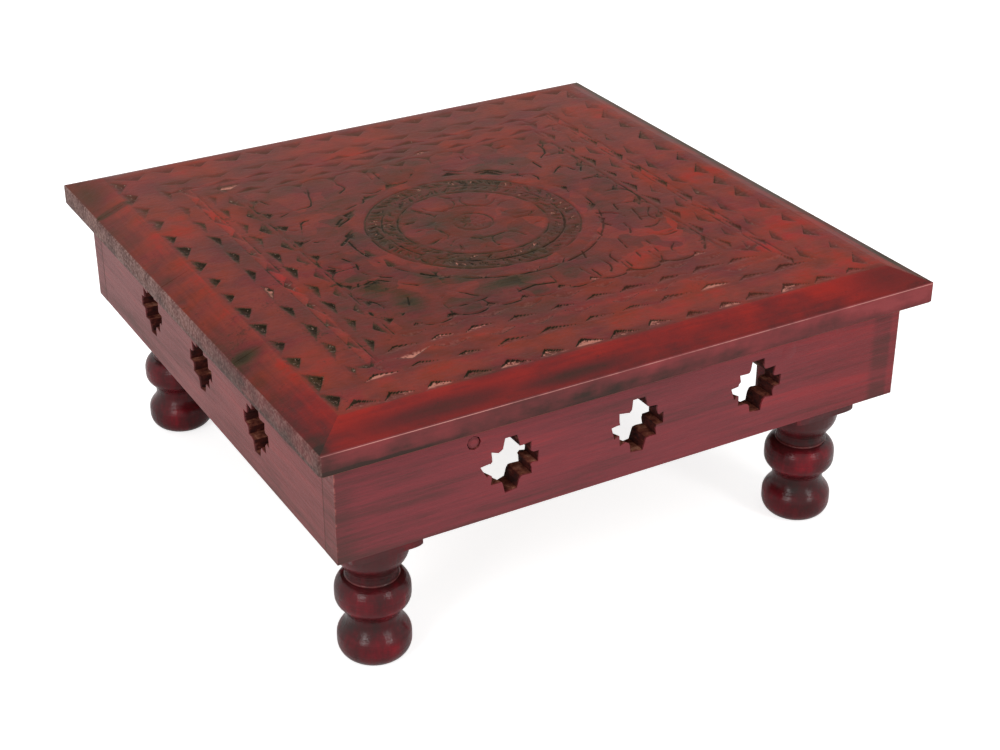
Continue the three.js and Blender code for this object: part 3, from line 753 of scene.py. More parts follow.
def carving_tree(material):
    """Sinks the top of a board to the lowest cutter over each point, and keeps the depth for the finish."""
    t = ShapeTree("carving", material, Chips="", Clear="", Faint="", Leaf="", ClearWidth=1.7,
                  ClearDepth=1.05, FaintWidth=1.8, FaintDepth=0.6, LeafWidth=2.8, LeafDepth=0.9, Tear=0.8,
                  Undulation=0.45, ShiftX=PATTERN_SHIFT[0], ShiftY=PATTERN_SHIFT[1])
    place = t.value("GeometryNodeInputPosition")
    x, y, _ = t.parts(place)
    x = t.total(x, (t["ShiftX"], -MM))
    y = t.total(y, (t["ShiftY"], -MM))
    # A ray from under each point finds the cutter over it
    found = {}
    for key, mapping in (("raw", "NEAREST"), ("wash", "NEAREST"), ("floor", "INTERPOLATED")):
        values = {"Target Geometry": t.object_mesh("Chips"), "Source Position": t.xyz(x, y, -0.008),
                  "Ray Direction": (0, 0, 1), "Ray Length": 0.02, "Attribute": t.named(key)}
        ray = t.node("GeometryNodeRaycast", values, data_type="FLOAT", mapping=mapping)
        found[key] = Value(t, ray.outputs["Attribute"])
    floor = t.parts(ray.outputs["Hit Position"])[2]
    # The blade tore the grain, so no mouth has a clean outline
    torn = t.noise(t.vector("MULTIPLY", place, (200, 420, 1)), 1.0, 2.0, 0.5)
    torn = t.most(torn - 0.34, 0.0) * t["Tear"]
    chip = t.most(floor * (-1 / MM) - torn, 0.0) * ray.outputs["Is Hit"]
    depth = chip
    for lines in ("Clear", "Faint", "Leaf"):
        values = {0: t.object_mesh(lines), "Sample Position": t.xyz(x, y, 0.0)}
        near = t.value("GeometryNodeProximity", values, "Distance", target_element="EDGES")
        away = near * (2 / MM) / t[lines + "Width"]
        cut = (1.0 - t.least(away, 1.0)) * t[lines + "Depth"]
        depth = t.most(depth, cut * t.fade(t.noise(place, 90.0, 1.0, 0.5), 0.32, 0.54, 0.15, 1.1))
    on_chip = t.fade(chip, 0.05, 0.3)
    geometry = t.given[0]
    for key, value in (("depth", depth * t.named("carvable")), ("raw", found["raw"] * t.fade(chip, 0.2, 0.7)),
                       ("floor", found["floor"] * on_chip), ("wall", (1.0 - found["floor"]) * on_chip),
                       ("wash", t.between(on_chip, 1.0, found["wash"])), ("around", t.blurred("depth", 9)),
                       ("soft_depth", t.blurred("depth", 1))):
        geometry = t.keep(geometry, key, value)
    swell = t.noise(t.vector("MULTIPLY", place, (14, 30, 14)), 1.0, 2.0, 0.5)
    sunk = t["Undulation"] * swell * t.named("carvable")
    drop = t.xyz(0.0, 0.0, (t.named("soft_depth") + sunk) * -MM)
    t.finish(t.value("GeometryNodeSetPosition", {"Geometry": geometry, "Offset": drop}))
    return t


# Places where the dark wash has gathered: middle, half sizes and strength, in millimetres
SMUDGES = (
    (-182, -84, 13, 9, 1.0), (-176, -62, 9, 14, 0.5), (-184, 22, 8, 7, 0.6), (-177, 127, 14, 3.5, 1.3),
    (-178, 162, 18, 30, 0.72), (-120, -181, 42, 6, 0.8), (-40, -183, 38, 5, 0.9), (40, -180, 26, 4, 0.5),
    (-187, -186, 5, 5, 0.9), (-84, -168, 20, 6, 0.7), (8, -167, 30, 6, 0.6), (-22, -84, 24, 8, 1.0),
    (28, -84, 16, 8, 0.7), (-62, -60, 9, 14, 0.8), (-72, 20, 7, 26, 0.6), (74, 12, 6, 22, 0.5),
    (64, -38, 7, 16, 0.6), (-98, -52, 12, 22, 0.7), (-84, -78, 10, 18, 0.7), (100, 16, 8, 12, 0.4),
    (24, 82, 20, 9, 0.5), (40, 48, 20, 10, 0.6), (-58, 62, 16, 7, 0.6), (-118, 118, 30, 8, 0.6),
    (-120, -60, 8, 40, 0.35), (60, -120, 40, 10, 0.4), (176, 176, 14, 12, 0.5), (-165, -84, 14, 5, 0.6),
    (184, -150, 6, 30, 0.6), (160, -176, 26, 10, 0.55), (-108, 60, 10, 30, 0.5),
)


def smudge_weights(piece):
    """How much of the dark wash lies at each point of a board."""
    count = len(piece.data.vertices)
    points = np.zeros(count * 3, np.float32)
    piece.data.vertices.foreach_get("co", points)
    points = points.reshape(-1, 3) / MM
    weight = np.zeros(count)
    for x, y, half_x, half_y, strength in SMUDGES:
        far = ((points[:, 0] - x) / half_x) ** 2 + ((points[:, 1] - y) / half_y) ** 2
        weight = np.maximum(weight, strength * np.exp(-0.7 * far))
    carry(piece, "smudge", weight.astype(np.float32))


def make_boards(material):
    chips = carve_cutters(material)
    clear, faint, leaf = scribed_lines()
    tree = carving_tree(material)
    edges = (-TOP_HALF,) + JOINTS + (TOP_HALF,)
    for i, name in enumerate(BOARD_NAMES):
        low = edges[i] + (BOARD_GAP / 2 if i else 0)
        high = edges[i + 1] - (BOARD_GAP / 2 if i < 3 else 0)
        blank = board_blank(name + "_blank", low, high, i == 0, i == 3)
        board = tree.run(blank, "carved_" + name, Chips=chips, Clear=clear, Faint=faint, Leaf=leaf)
        board.data.shade_smooth()
        board.data.polygons[-1].use_smooth = False
        smudge_weights(board)
        dress(board, material, "top_paint", name)
    for spare in (chips, clear, faint, leaf):
        bpy.data.objects.remove(spare)


# Aprons

def merged_copy(node, name):
    """A copy of a CAD node's mesh with its loose triangles joined into flat faces."""
    made = bmesh.new()
    made.from_mesh(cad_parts[node].data)
    bmesh.ops.remove_doubles(made, verts=made.verts, dist=2e-6)
    bmesh.ops.dissolve_limit(made, angle_limit=math.radians(1), verts=made.verts, edges=made.edges)
    mesh = bpy.data.meshes.new(name)
    made.to_mesh(mesh)
    made.free()
    mesh.materials.clear()
    return placed(name, mesh)


# How far each hand-sawn opening sits off its mark, along its apron and upwards
CUTOUT_WANDER = {
    "front": ((0.3, -1.9), (0.7, -1.4), (0.7, 0.8)), "back": ((-0.8, 0.6), (0.5, -0.9), (1.0, 0.4)),
    "left": ((-1.7, -1.5), (-1.6, 0.2), (-1.8, 1.0)), "right": ((0.6, -0.7), (-0.9, 0.5), (0.4, 0.9)),
}


def within(point, pairs, plan):
    """Whether a point lies on the board's wood, by how many rim edges lie to one side of it."""
    crossed = 0
    for first, second in pairs:
        (ax, ay), (bx, by) = plan[first], plan[second]
        if (ay > point[1]) != (by > point[1]):
            crossed += point[0] < ax + (bx - ax) * (point[1] - ay) / (by - ay)
    return crossed % 2 == 1


def refill(piece, axis):
    """Fills the two broad faces afresh round their moved openings."""
    made = bmesh.new()
    made.from_mesh(piece.data)
    for level in (FRAME_HALF, FRAME_HALF - APRON_THICKNESS):
        flat = {face for face in made.faces
                if all(abs(abs(corner.co[1 - axis]) / MM - level) < 0.01 for corner in face.verts)}
        facing = next(iter(flat)).normal.copy()
        rim = [edge for edge in made.edges if sum(face in flat for face in edge.link_faces) == 1]
        corners = list(dict.fromkeys(corner for edge in rim for corner in edge.verts))
        order = {corner: i for i, corner in enumerate(corners)}
        bmesh.ops.delete(made, geom=list(flat), context="FACES")
        plan = [Vector((corner.co[axis], corner.co[2])) for corner in corners]
        pairs = [tuple(order[corner] for corner in edge.verts) for edge in rim]
        spots, _, fills, came_from, _, _ = delaunay_2d_cdt(plan, pairs, [], 1, 1e-7)
        for fill in fills:
            if not within(sum((spots[i] for i in fill), Vector((0, 0))) / len(fill), pairs, plan):
                continue
            face = made.faces.new([corners[came_from[i][0]] for i in fill])
            face.normal_update()
            if face.normal.dot(facing) < 0:
                face.normal_flip()
    bmesh.ops.dissolve_limit(made, angle_limit=math.radians(0.5), verts=made.verts, edges=made.edges)
    made.to_mesh(piece.data)
    made.free()


def flatten_faces(piece):
    """Flat shading on the faces square to the table, so that only the arrises look rounded."""
    for face in piece.data.polygons:
        if max(abs(part) for part in face.normal) > 0.9999:
            face.use_smooth = False


def make_aprons(material):
    source = random.Random(LAYOUT_SEED + 2)
    for side, axis, outward in (("front", 0, -1), ("back", 0, 1), ("left", 1, -1), ("right", 1, 1)):
        apron = merged_copy("apron_" + side, "sawn_apron_" + side)
        moved = {}
        for vertex in apron.data.vertices:
            along, rise = vertex.co[axis] / MM, vertex.co[2] / MM
            place = round(along / CUTOUT_PITCH)
            off, up = along - place * CUTOUT_PITCH, rise - CUTOUT_RISE
            if abs(place) <= 1 and abs(off) < 17 and abs(up) < 16.5:
                key = (round(along, 2), round(rise, 2))
                if key not in moved:
                    slide, lift = CUTOUT_WANDER[side][place + 1]
                    moved[key] = slide + source.uniform(-0.6, 0.6), lift + source.uniform(-0.6, 0.6)
                slide, lift = moved[key]
                seen_off = off * -outward
                if axis == 0 and seen_off < -15:
                    # The outer tip is drawn to a point
                    slide, lift = slide + (1.0 if up > 0 else -1.7) * outward, lift - 0.9
                if axis == 0 and seen_off < -1 and up < 0 and abs(vertex.co[1]) < (FRAME_HALF - 7) * MM:
                    # The saw leaned, so the opening is a little wider inside
                    slide, lift = slide + 2.0 * outward, lift - 2.2
                vertex.co[axis] += slide * MM
                vertex.co[2] += lift * MM
        refill(apron, axis)
        bevel = apron.modifiers.new("arris", "BEVEL")
        bevel.width, bevel.segments, bevel.limit_method = 0.45 * MM, 2, "ANGLE"
        bevel.angle_limit = math.radians(28)
        mesh = evaluated(apron)
        apron.modifiers.clear()
        apron.data = mesh
        smooth(apron, 40)
        flatten_faces(apron)
        dress(apron, material, "apron_paint", "apron_" + side)


# Legs

def leg_outline():
    """(radius, height) up a leg: foot, two beads, a fine ring, the flared neck and the square head."""
    def sweep(low, high, steps):
        pull = 0.5 * (high[1] - low[1])
        places = []
        for i in range(1, steps + 1):
            t = i / steps
            lower, upper = (1 - t) ** 3 + 3 * t * (1 - t) ** 2, t ** 3 + 3 * t ** 2 * (1 - t)
            rise = low[1] * lower + high[1] * upper + 3 * t * (1 - t) * pull * ((1 - t) - t)
            places.append((low[0] * lower + high[0] * upper, rise))
        return places

    points = [(5.0, 0.0), (10.6, 0.0)]
    points += arc((11.5, 9.5), 8.9, -88, 0, 10, 9.5) + [(20.4, 11.3), (20.4, 13.0)]
    points += sweep((20.4, 13.0), (15.0, 26.0), 10)
    points += sweep((15.0, 26.0), (20.8, 39.0), 10) + [(20.8, 40.8), (20.8, 42.5)]
    points += arc((14.5, 42.5), 6.3, 9, 88, 9, 8.3)
    points += [(14.7, 51.0), (15.0, 51.25), (15.05, 51.6), (14.8, 51.95), (14.5, 52.2)]
    points += sweep((14.5, 52.2), (20.6, 70.0), 11)
    points += [(20.6, 71.8), (20.5, 72.9), (20.3, 73.3), (22.0, 73.5), (26.0, 73.5)]
    points += arc((26.0, 77.5), 5.0, -78, 0, 6, 4.0)
    head_start, head_end = 78.5, 149.0
    return points + [(31.0, head_start + (head_end - head_start) * i / 10) for i in range(1, 11)]


def bands(levels, sides, near=0, far=1):
    """The faces round a stack of rings of points; near and far change places where the rings go downwards."""
    return [tuple(ring * sides + (i + side) % sides
                  for ring, side in ((level, near), (level, far), (level + 1, far), (level + 1, near)))
            for level in range(levels - 1) for i in range(sides)]


def make_legs(material):
    outline = leg_outline()
    angles = [2 * math.pi * i / LEG_SIDES for i in range(LEG_SIDES)]
    for name, sign_x, sign_y in (("front_left", -1, -1), ("front_right", 1, -1), ("back_left", -1, 1),
                                 ("back_right", 1, 1)):
        points, bulge = [], []
        centre_x, centre_y = sign_x * LEG_OFFSET, sign_y * LEG_OFFSET
        for radius, rise in outline:
            for angle in angles:
                c, s = math.cos(angle), math.sin(angle)
                square = LEG_BLANK_HALF / (abs(c) ** 26 + abs(s) ** 26) ** (1 / 26)
                reach = min(radius, square)
                points.append(((centre_x + reach * c) * MM, (centre_y + reach * s) * MM, rise * MM))
                bulge.append(min(1.0, max(0.0, (radius - 14.4) / 6.2)))
        top = (len(outline) - 1) * LEG_SIDES
        ends = [tuple(range(LEG_SIDES - 1, -1, -1)), tuple(range(top, top + LEG_SIDES))]
        leg = object_from("turned_leg_" + name, points, bands(len(outline), LEG_SIDES) + ends)
        carry(leg, "bulge", np.array(bulge, np.float32))
        smooth(leg, 42)
        dress(leg, material, "leg_paint", "leg_" + name)


# Fasteners

def spun(name, profile, sides):
    """A profile of (radius, height), from the top down, turned about Z; its two ends lie on the axis."""
    points = []
    for radius, rise in profile[1:-1]:
        for i in range(sides):
            angle = 2 * math.pi * i / sides
            points.append((radius * math.cos(angle) * MM, radius * math.sin(angle) * MM, rise * MM))
    levels = len(profile) - 2
    faces = bands(levels, sides, 1, 0)
    first, last = len(points), (levels - 1) * sides
    points += [(0, 0, profile[0][1] * MM), (0, 0, profile[-1][1] * MM)]
    for i in range(sides):
        j = (i + 1) % sides
        faces += [(first, i, j), (first + 1, last + j, last + i)]
    return object_from(name, points, faces)


def studs_tree(material):
    """The same fastener at each of a few points, turned to one heading."""
    t = ShapeTree("studs", material, Stud="", Pitch=0.0, Seed=LAYOUT_SEED)
    spin = t.heading(0.0, 0.0, t.random(0.0, 2 * math.pi, 1))
    both = t.value("FunctionNodeRotateRotation", {0: spin, 1: t.heading(t["Pitch"], 0.0, 0.0)})
    t.finish(t.copies(t.given[0], "Stud", both))
    return t


def make_plugs(material):
    tree = studs_tree(material)
    for y_sign, end in ((-1, "front"), (1, "back")):
        for x_sign, side in ((-1, "left"), (1, "right")):
            profile, sides = (TURNED_PLUG, 32) if x_sign == y_sign else (FILLED_PLUG, 40)
            stud = spun("stud", profile, sides)
            stud.hide_render = True
            place = (x_sign * BATTEN_OFFSET * MM, y_sign * (FRAME_HALF - 0.1) * MM, PLUG_RISE * MM)
            piece = tree.run(object_from("start", [place], []), f"turned_plug_{end}_{side}", Stud=stud,
                             Pitch=-y_sign * math.pi / 2)
            bpy.data.objects.remove(stud)
            smooth(piece, 35)
            dress(piece, material, "plug_paint", f"plug_{end}_{side}")


def slotted_head_tree(material):
    """A driver's slot sawn across a screw's head."""
    t = ShapeTree("driver_slot", material, Width=0.9, Depth=1.1, Length=9.0)
    size = t.vector("MULTIPLY", t.xyz(t["Length"], t["Width"], t["Depth"] * 2), (MM, MM, MM))
    blade = t.value("GeometryNodeMeshCube", {"Size": size}, "Mesh")
    values = {"Mesh 1": t.given[0], "Mesh 2": blade}
    t.finish(t.value("GeometryNodeMeshBoolean", values, "Mesh", operation="DIFFERENCE"))
    return t


def make_board_screws(material):
    tree, slot = studs_tree(material), slotted_head_tree(material)
    head, shank, height = 3.9, 1.9, 2.6
    for side in ("left", "right"):
        nodes = [f"board_screw_{side}_{i}" for i in range(1, 5)]
        boxes = [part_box(node) for node in nodes]
        length = (boxes[0][1][2] - boxes[0][0][2]) / MM
        profile = [(0.0, 0.0), (head - 0.3, 0.0), (head, 0.25), (head, 0.45), (shank, height),
                   (shank, length - 4), (0.4, length - 0.05), (0.0, length)]
        screw = spun("slotless_screw", [(radius, -rise) for radius, rise in profile], 32)
        screw = slot.run(screw, "slotted_screw")
        screw.hide_render = True
        places = [((low[0] + high[0]) / 2, (low[1] + high[1]) / 2, low[2]) for low, high in boxes]
        screws = tree.run(object_from("start", places, []), "slotted_screws_" + side, Stud=screw,
                          Pitch=math.pi, Seed=LAYOUT_SEED + len(side))
        bpy.data.objects.remove(screw)
        smooth(screws, 25)
        dress(screws, material, "steel", *nodes)


# Finishes

# The finish of the top goes from the dark wash, by worn brown, to fresh red
TOP_PAINT = (
    (0.0, 34, 28, 17), (0.2, 64, 51, 35), (0.42, 92, 50, 42), (0.6, 109, 51, 45), (0.8, 130, 56, 47),
    (1.0, 156, 51, 43),
)
# How fresh the paint is at a distance from the edge (shares of 190 mm) and from the middle (of 100 mm)
RADIUS_SHARE = 0.1
FRESH_BY_INSET = (
    (0.0, 0.54), (0.03, 0.58), (0.10, 0.64), (0.15, 0.66), (0.165, 0.70), (0.225, 0.68), (0.235, 0.60),
    (0.30, 0.58), (0.32, 0.72), (0.335, 0.62), (0.43, 0.54), (0.46, 0.50), (1.0, 0.50),
)
FRESH_BY_RADIUS = (
    (0.0, 0.40), (0.11, 0.40), (0.14, 0.48), (0.24, 0.46), (0.42, 0.50), (0.45, 0.30), (0.63, 0.32),
    (0.65, 0.54), (0.75, 0.52), (0.78, 0.44), (0.85, 0.50),
)


def carved_paint():
    """Worn red over brown on the carved boards, with the dark wash in the cuts and bare wood underneath.

    Places are in metres: x to the right, y to the back, z up, inset from the edge, radius from the middle.
    set_in and radius follow the carved pattern, which lies a little off the middle.
    """
    ridge_in = 0.06
    ring_middle, ring_half = 0.0544, 0.0096
    g = Finish("carved_red_paint")
    place = g.place
    x, y, z = g.parts(place)
    away_x, away_y = abs(x), abs(y)
    inset = TOP_HALF * MM - g.most(away_x, away_y)
    set_x, set_y = x - PATTERN_SHIFT[0] * MM, y - PATTERN_SHIFT[1] * MM
    radius = g.math("SQRT", g.total(0, (set_x * set_x, 1), (set_y * set_y, 1)))
    set_in = TOP_HALF * MM - g.most(abs(set_x), abs(set_y))
    toward_front = -y
    front = toward_front > away_x
    right, left = x > away_y, -x > away_y
    bevel = g.fade(inset, 0.0195, 0.0205, 1, 0)
    by_side = g.levels(set_in * (1 / (TOP_HALF * MM)), FRESH_BY_INSET)
    by_radius = g.levels(radius * (1 / RADIUS_SHARE), FRESH_BY_RADIUS)
    fresh = g.between(g.fade(radius, 0.079, 0.085, 1, 0), by_side, by_radius)
    cloud = g.noise(place, (17, 23, 17), 4, 0.6) - 0.5
    patch = g.noise(place, (52, 74, 52), 4, 0.62) - 0.5
    # The brush went along the boards, and along the bevel on the two other sides
    across = bevel * (away_x > away_y)
    along_x, along_y = (g.noise(place, way, 4, 0.6) for way in ((26, 360, 120), (360, 26, 120)))
    grain = g.between(across, along_x, along_y) - 0.5
    fine = g.noise(place, 520, 3, 0.7) - 0.5
    front_bevel, left_bevel = bevel * front, bevel * left
    # Fresher towards the front and the right; the bright bevel is painted darker towards its edge as painted
    # shade, and darkens to the far corner
    fresh = g.total(fresh, (g.fade(toward_front, 0.02, 0.12, 0.06, 0.02), 1),
                    (g.fade(x, -0.02, 0.12) * g.fade(toward_front, 0, 0.12), 0.1),
                    (front_bevel * g.fade(inset, 0.003, 0.018, -0.5, 1), 0.07),
                    (left_bevel * g.fade(inset, 0.003, 0.018, -1.3, 1), 0.1),
                    (bevel * grain, 0.35), (right, 0.025), (left_bevel * g.fade(y, -0.14, -0.175), -0.2),
                    (left * g.fade(abs(set_in - ridge_in), 0.004, 0.002), 0.15),
                    (front_bevel * g.fade(x, 0.13, 0.18), -0.2), (left_bevel * g.fade(y, -0.13, -0.1), 0.05),
                    (bevel * right * g.fade(inset, 0.012, 0.006), -0.4),
                    (cloud, 1), (patch, 0.7), (grain, 0.16), (fine, 0.16))
    # Each petal and leaf between the cuts took the paint in its own way
    bent_x = g.total(x, (g.noise(place, 60, 2), 0.016))
    bent = g.xyz(bent_x, g.total(y, (g.noise(place, 53, 2), 0.016)), 0)
    petal = g.value("ShaderNodeTexVoronoi", {"Vector": bent, "Scale": 72}, "Color", voronoi_dimensions="2D")
    in_field = g.fade(set_in, 0.085, 0.088) * g.fade(abs(radius - 0.0545), 0.009, 0.011, 0.25, 1)
    near_right = g.fade(x, 0, 0.05) * g.fade(toward_front, 0, 0.05)
    fresh = g.total(fresh, ((g.parts(petal)[0] - 0.5) * in_field, 0.3), (in_field * near_right, 0.09))
    # The wash lies in every cut and a little around it, and has been smeared in places
    depth, around, floor = g.attribute("depth"), g.attribute("around"), g.attribute("floor")
    ragged = g.total(0, (patch, 1.4), (fine, 0.9))
    away = g.most(left, y > away_x)
    pale = floor * g.total(1, (away, -0.75), (right, -0.45))
    stained = floor * away * g.fade(patch, -0.2, 0.1, 0.1, 0.62)
    line = g.fade(depth + ragged, 0.2, 0.75) * g.total(1, (pale, -0.95))
    wall = g.fade(g.total(g.attribute("wall"), (ragged, g.total(0.6, (left, 0.7)))), 0.15, 0.6)
    wall = wall * g.total(1, (away, -0.32))
    cut = g.most(line, stained, wall) * g.attribute("wash")
    # Less of it stayed within the ring, on the ring's outlines and in the cuts along the back
    kept = g.least(g.fade(radius, 0.065, 0.067, 0.72, 1), g.fade(y, 0.05, 0.12, 1, 0.55))
    outline = g.fade(abs(abs(radius - ring_middle) - ring_half), 0.002, 0.001)
    cut = cut * kept * g.total(1, (outline, -0.45))
    close = g.fade(around + ragged, 0.1, 0.9)
    smear = g.fade(g.total(g.attribute("smudge"), (cloud, 1.6), (patch, 0.8), (grain, 0.8)), 0.3, 1)
    fresh = g.total(fresh, (cut, -0.62), (close, g.total(-0.14, (left, -0.1))), (smear, -0.45))
    colour = g.ramp(fresh, *TOP_PAINT)
    # In the cuts along the back and at the near right it is browner
    brown = g.most(g.fade(y, 0.07, 0.12), near_right * 0.5)
    colour = g.mix(cut * brown, colour, (98, 46, 40))
    # The red leans to orange in some patches and to crimson in others
    lean = g.noise(place, (34, 44, 34), 3, 0.6)
    colour = g.tint(g.fade(lean, 0.5, 0.64, 0, 0.5), colour, (255, 236, 190))
    colour = g.tint(g.fade(lean, 0.48, 0.36, 0, 0.5), colour, (255, 214, 255))
    # The broad facets of the chips are worn pale, some of them down to the wood
    speck = g.fade(fine, -0.12, 0.14)
    worn = pale * g.fade(radius, 0.066, 0.07, 0.35, 1) * speck
    colour = g.mix(worn * 0.3, colour, (156, 98, 90))
    bare = g.attribute("raw") * floor * g.fade(g.total(0, (fine, 1.3), (patch, 1.6)), -0.04, 0.1)
    colour = g.mix(bare * 0.8, colour, (204, 136, 119))
    dust = g.fade(g.total(fine, (left, 0.05)), 0.15, 0.22) * g.fade(around, 0.2, 0.6)
    colour = g.mix(dust * 0.7, colour, (158, 132, 116))
    # The back has a thin haze
    colour = g.mix(g.fade(y, -0.06, 0.18, 0, 0.09), colour, (150, 118, 106))
    # The front bevel is a deep crimson with purplish smears
    deep = g.ramp(fresh, (0.1, 58, 44, 40), (0.4, 96, 41, 41), (0.7, 130, 41, 39), (1, 158, 44, 38))
    crimson = g.most(front, left * g.fade(y, -0.1, -0.16))
    colour = g.mix(bevel * crimson * 0.9, colour, deep)
    # The square edge: darker towards its foot, with a thin pale line along the front arris
    side = g.fade(inset, 0.0011, 0.0005)
    rise = g.total(z, (cloud, 0.012), (patch, 0.006))
    lip = g.fade(z, 0.1525, 0.1505) * g.fade(x, -0.08, -0.16)
    edge_tone = g.total(g.fade(rise, 0.150, 0.158, 0.3, 0.62), (g.fade(x, -0.14, 0.16, -0.12, 0.27), 1),
                        (lip, -0.5), (grain, 1.2), (patch, 0.9), (cloud, 0.9), (smear, -0.35))
    edge = g.ramp(edge_tone, (0, 68, 53, 49), (0.35, 105, 59, 59), (0.8, 136, 65, 67), (1, 150, 72, 74))
    # On the left it is worn down to grey, speckled wood
    grey = g.ramp(g.total(0.5, (fine, 2.4), (patch, 0.8), (cloud, 0.8)), (0.15, 84, 60, 56),
                  (0.5, 122, 92, 86), (0.85, 160, 132, 124))
    edge = g.mix(g.fade(x, -0.1885, -0.189) * g.fade(y, -0.12, 0.06, 0.45, 0.85), edge, grey)
    colour = g.mix(side, colour, edge)
    arris = g.fade(inset, 0.00036, 0.00026) * g.fade(z, 0.16065, 0.16085)
    line = arris * g.fade(g.total(0, (front, 0.9), (cloud, 0.8)), 0.3, 0.6)
    line = line * g.fade(g.total(0, (patch, 1.3), (cloud, 1.3)), -0.3, 0.1, 0.35, 1)
    colour = g.mix(line * 0.8, colour, (212, 150, 142))
    # Nothing was painted below
    under = g.fade(z, UNDERSIDE * MM + 0.0003, UNDERSIDE * MM + 0.0001)
    wood = g.ramp(g.total(0.5, (grain, 1.5), (cloud, 0.8)), (0.2, 112, 78, 52), (0.8, 156, 116, 80))
    colour = g.mix(under, colour, wood)
    rough = g.fade(g.total(0, (cloud, 1), (cut, 0.3)), -0.2, 0.4, 0.42, 0.62)
    relief = g.total(0, (grain, 0.3), (fine, 0.4), (patch, 0.9))
    return g.done(colour, rough, relief, 0.0006, **{"Specular IOR Level": 0.035})


def apron_paint():
    """Maroon paint brushed along the boards, streaked dark, with raw sawn walls in the cut-outs."""
    seam_place, arris_start, arris_end = 0.1639, 0.1768, 0.1773
    g = Finish("streaked_maroon_paint")
    place = g.place
    x, y, z = g.parts(place)
    away_x, away_y = abs(x), abs(y)
    face = (FRAME_HALF - 0.15) * MM
    on_side = away_x > face
    end_grain = on_side * (away_y > (FRAME_HALF - APRON_THICKNESS) * MM)
    streak = g.noise(place, (13, 13, 420), 5, 0.62) - 0.5
    broad = g.noise(place, (7, 7, 52), 4, 0.6) - 0.5
    fibre = g.noise(place, (90, 90, 1700), 3, 0.6) - 0.5
    fine = g.noise(place, 520, 3, 0.7) - 0.5
    tone = g.total(0.66, (streak, 1), (broad, 1.7), (fibre, 0.6), (fine, 0.12), (end_grain, -0.14))
    band = g.fade(x, 0.157, 0.163) * g.fade(x, 0.171, 0.174, 1, 0)
    on_front = 1 - on_side
    corner = g.fade(x, -0.162, -0.175) * on_front * g.fade(z, 0.11, 0.09, 0.6, 1)
    seam = on_side * g.fade(abs(away_y - seam_place), 0.0011, 0.0003)
    left_end = g.fade(x, -0.08, -0.14) * on_front
    # The top few millimetres of each apron, under the overhanging top, are painted darker: a painted shade
    tone = g.total(tone, (band, -0.35), (corner, -0.3), (left_end, -0.12),
                   (seam * g.fade(broad, -0.2, 0.2), -0.5), (g.fade(z, 0.1415, 0.148), -0.16))
    colour = g.ramp(tone, (0, 58, 44, 42), (0.3, 86, 46, 48), (0.6, 118, 48, 56), (0.8, 128, 50, 58),
                    (1, 146, 50, 58))
    colour = g.tint(on_side * 0.55, colour, (255, 255, 200))
    colour = g.mix(0.12, colour, (170, 90, 84))
    right_end = g.fade(x, 0.04, 0.17) * on_front
    colour = g.tint(right_end, colour, (255, 226, 222))
    # Pale dust under the top on the long sides, and wear on the upright arrises
    top_band = g.fade(z, 0.122, 0.149) * on_side
    dust = g.fade(g.total(0, (fine, 1), (broad, 0.7)), 0.02, 0.22) * top_band
    colour = g.mix(dust * 0.55, colour, (172, 152, 142))
    upright = g.fade(away_x, arris_start, arris_end) * g.fade(away_y, arris_start, arris_end)
    rubbed = upright * g.fade(fine + broad, 0, 0.15)
    colour = g.mix(rubbed * 0.6, colour, (186, 112, 104))
    # The walls of the cut-outs and the inner faces were never painted
    outer = g.most(on_side, away_y > face)
    painted = g.most(outer, z < (APRON_BOTTOM + 0.2) * MM)
    run_in = g.total(g.most(away_x, away_y), (fine, 0.002), (streak, 0.002))
    painted = g.most(painted, g.fade(run_in, 0.1763, 0.1772, 0, 0.7))
    saw = g.noise(place, (170, 170, 330), 4, 0.65) - 0.5
    # Ledges that look up are painted lighter than the upright walls: a painted light, as where light falls
    # from above
    painted_ledge_light = g.fade(g.parts(g.value("ShaderNodeNewGeometry", output="Normal"))[2], 0.4, 0.9, 0, 0.4)
    raw = g.ramp(g.total(0.3, (saw, 1.9), (painted_ledge_light, 1)), (0, 36, 11, 9), (0.45, 74, 25, 20),
                 (0.75, 120, 66, 50), (1, 168, 112, 90))
    inner_face = (FRAME_HALF - APRON_THICKNESS + 0.2) * MM
    inner = (away_x < inner_face) * (away_y < inner_face)
    raw = g.mix(inner, raw, g.ramp(streak + 0.5, (0.2, 96, 64, 42), (0.8, 150, 110, 76)))
    colour = g.mix(painted, raw, colour)
    rough = g.most(g.fade(tone, 0.2, 0.8, 0.45, 0.34), (1 - painted) * 0.8)
    relief = g.total(0, (streak, 0.5), (fibre, 0.5), (fine, 0.2), (saw, 1.2 - painted))
    return g.done(colour, rough, relief, 0.0005, **{"Specular IOR Level": 0.2})


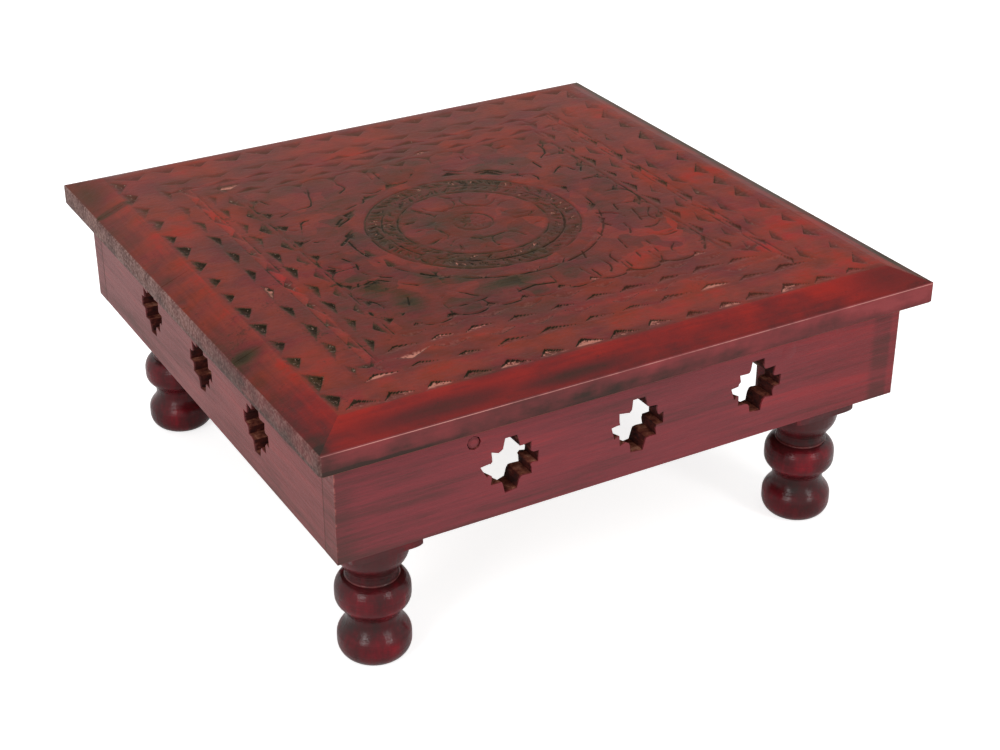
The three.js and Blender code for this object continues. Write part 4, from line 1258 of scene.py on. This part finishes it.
def leg_paint():
    """Dark maroon, polished on the lathe, with fine turning rings, redder beads and painted shade on the
    narrow parts.
    """
    g = Finish("turned_maroon_paint")
    place = g.place
    z = g.parts(place)[2]
    bulge = g.attribute("bulge")
    rings = g.noise(g.xyz(0, 0, z * 900), 1, 3, 0.6) - 0.5
    grain = g.noise(place, (260, 260, 24), 3, 0.6) - 0.5
    blot = g.noise(place, 48, 4, 0.6) - 0.5
    # Painted shade: the narrower the leg, the darker it is painted, so the necks darken and the beads stay
    # redder
    tone = g.total(g.fade(bulge, 0, 0.8, 0.3, 0.5), (blot, 1.5), (grain, 0.5), (rings, 0.25))
    tone = tone + g.fade(z, 0.0795, 0.084, 0, 0.18)
    # The top of the flare, just under the head and the aprons, is painted darker: a painted shade
    tone = tone - g.fade(z, 0.062, 0.072) * g.fade(z, 0.0775, 0.0735, 0, 0.16)
    colour = g.ramp(tone, (0, 44, 30, 28), (0.35, 74, 21, 25), (0.6, 100, 19, 28), (0.85, 136, 20, 33),
                    (1, 156, 28, 38))
    # A dull brown film, partly stain and partly painted shade, lies on the flare and the head under the
    # aprons
    film_and_shade = g.fade(z, 0.058, 0.074) * g.fade(blot, -0.2, 0.15, 0.7, 0.3)
    colour = g.mix(film_and_shade, colour, (92, 50, 50))
    # The fine ring between the beads and the flare is painted pale, a painted highlight
    ring = g.fade(z, 0.0507, 0.0511) * g.fade(z, 0.0518, 0.0522, 1, 0)
    colour = g.mix(ring * g.fade(blot, -0.1, 0.1, 0.1, 0.4), colour, (176, 92, 88))
    relief = g.total(0, (rings, 0.6), (grain, 0.5), (blot, 1.2))
    return g.done(colour, g.fade(blot, -0.2, 0.2, 0.16, 0.26), relief, 0.0005, **{"Specular IOR Level": 0.24})


def bare_wood():
    g = Finish("bare_planed_wood")
    place = g.place
    streak = g.noise(place, (260, 14, 260), 4, 0.6)
    rings = g.noise(place, (60, 5, 60), 2, 0.5)
    colour = g.mix(g.fade(rings, 0.35, 0.65), (148, 108, 74), (118, 82, 54))
    colour = g.mix(g.fade(streak, 0.5, 0.75, 0, 0.6), colour, (84, 56, 38))
    return g.done(colour, g.fade(streak, 0.3, 0.7, 0.6, 0.8), streak, 0.0005)


def screw_steel():
    g = Finish("drawn_steel")
    place = g.place
    scratch = g.noise(place, (900, 900, 200), 3, 0.6)
    tarnish = g.noise(place, 300, 3, 0.6)
    colour = g.mix(g.fade(tarnish, 0.5, 0.7), (168, 168, 170), (112, 98, 86))
    return g.done(colour, g.fade(scratch, 0.3, 0.7, 0.28, 0.5), scratch, 0.0001, Metallic=1)


# The table

make_camera()
make_studio()
maroon = apron_paint()
steel = screw_steel()
wood = bare_wood()
make_boards(carved_paint())
make_aprons(maroon)
make_legs(leg_paint())
make_plugs(maroon)
make_board_screws(steel)
for node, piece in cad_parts.items():
    if piece.hide_render:
        continue
    finish = wood if node.startswith("batten_") and "screw" not in node else steel
    piece.data.materials.clear()
    piece.data.materials.append(finish)
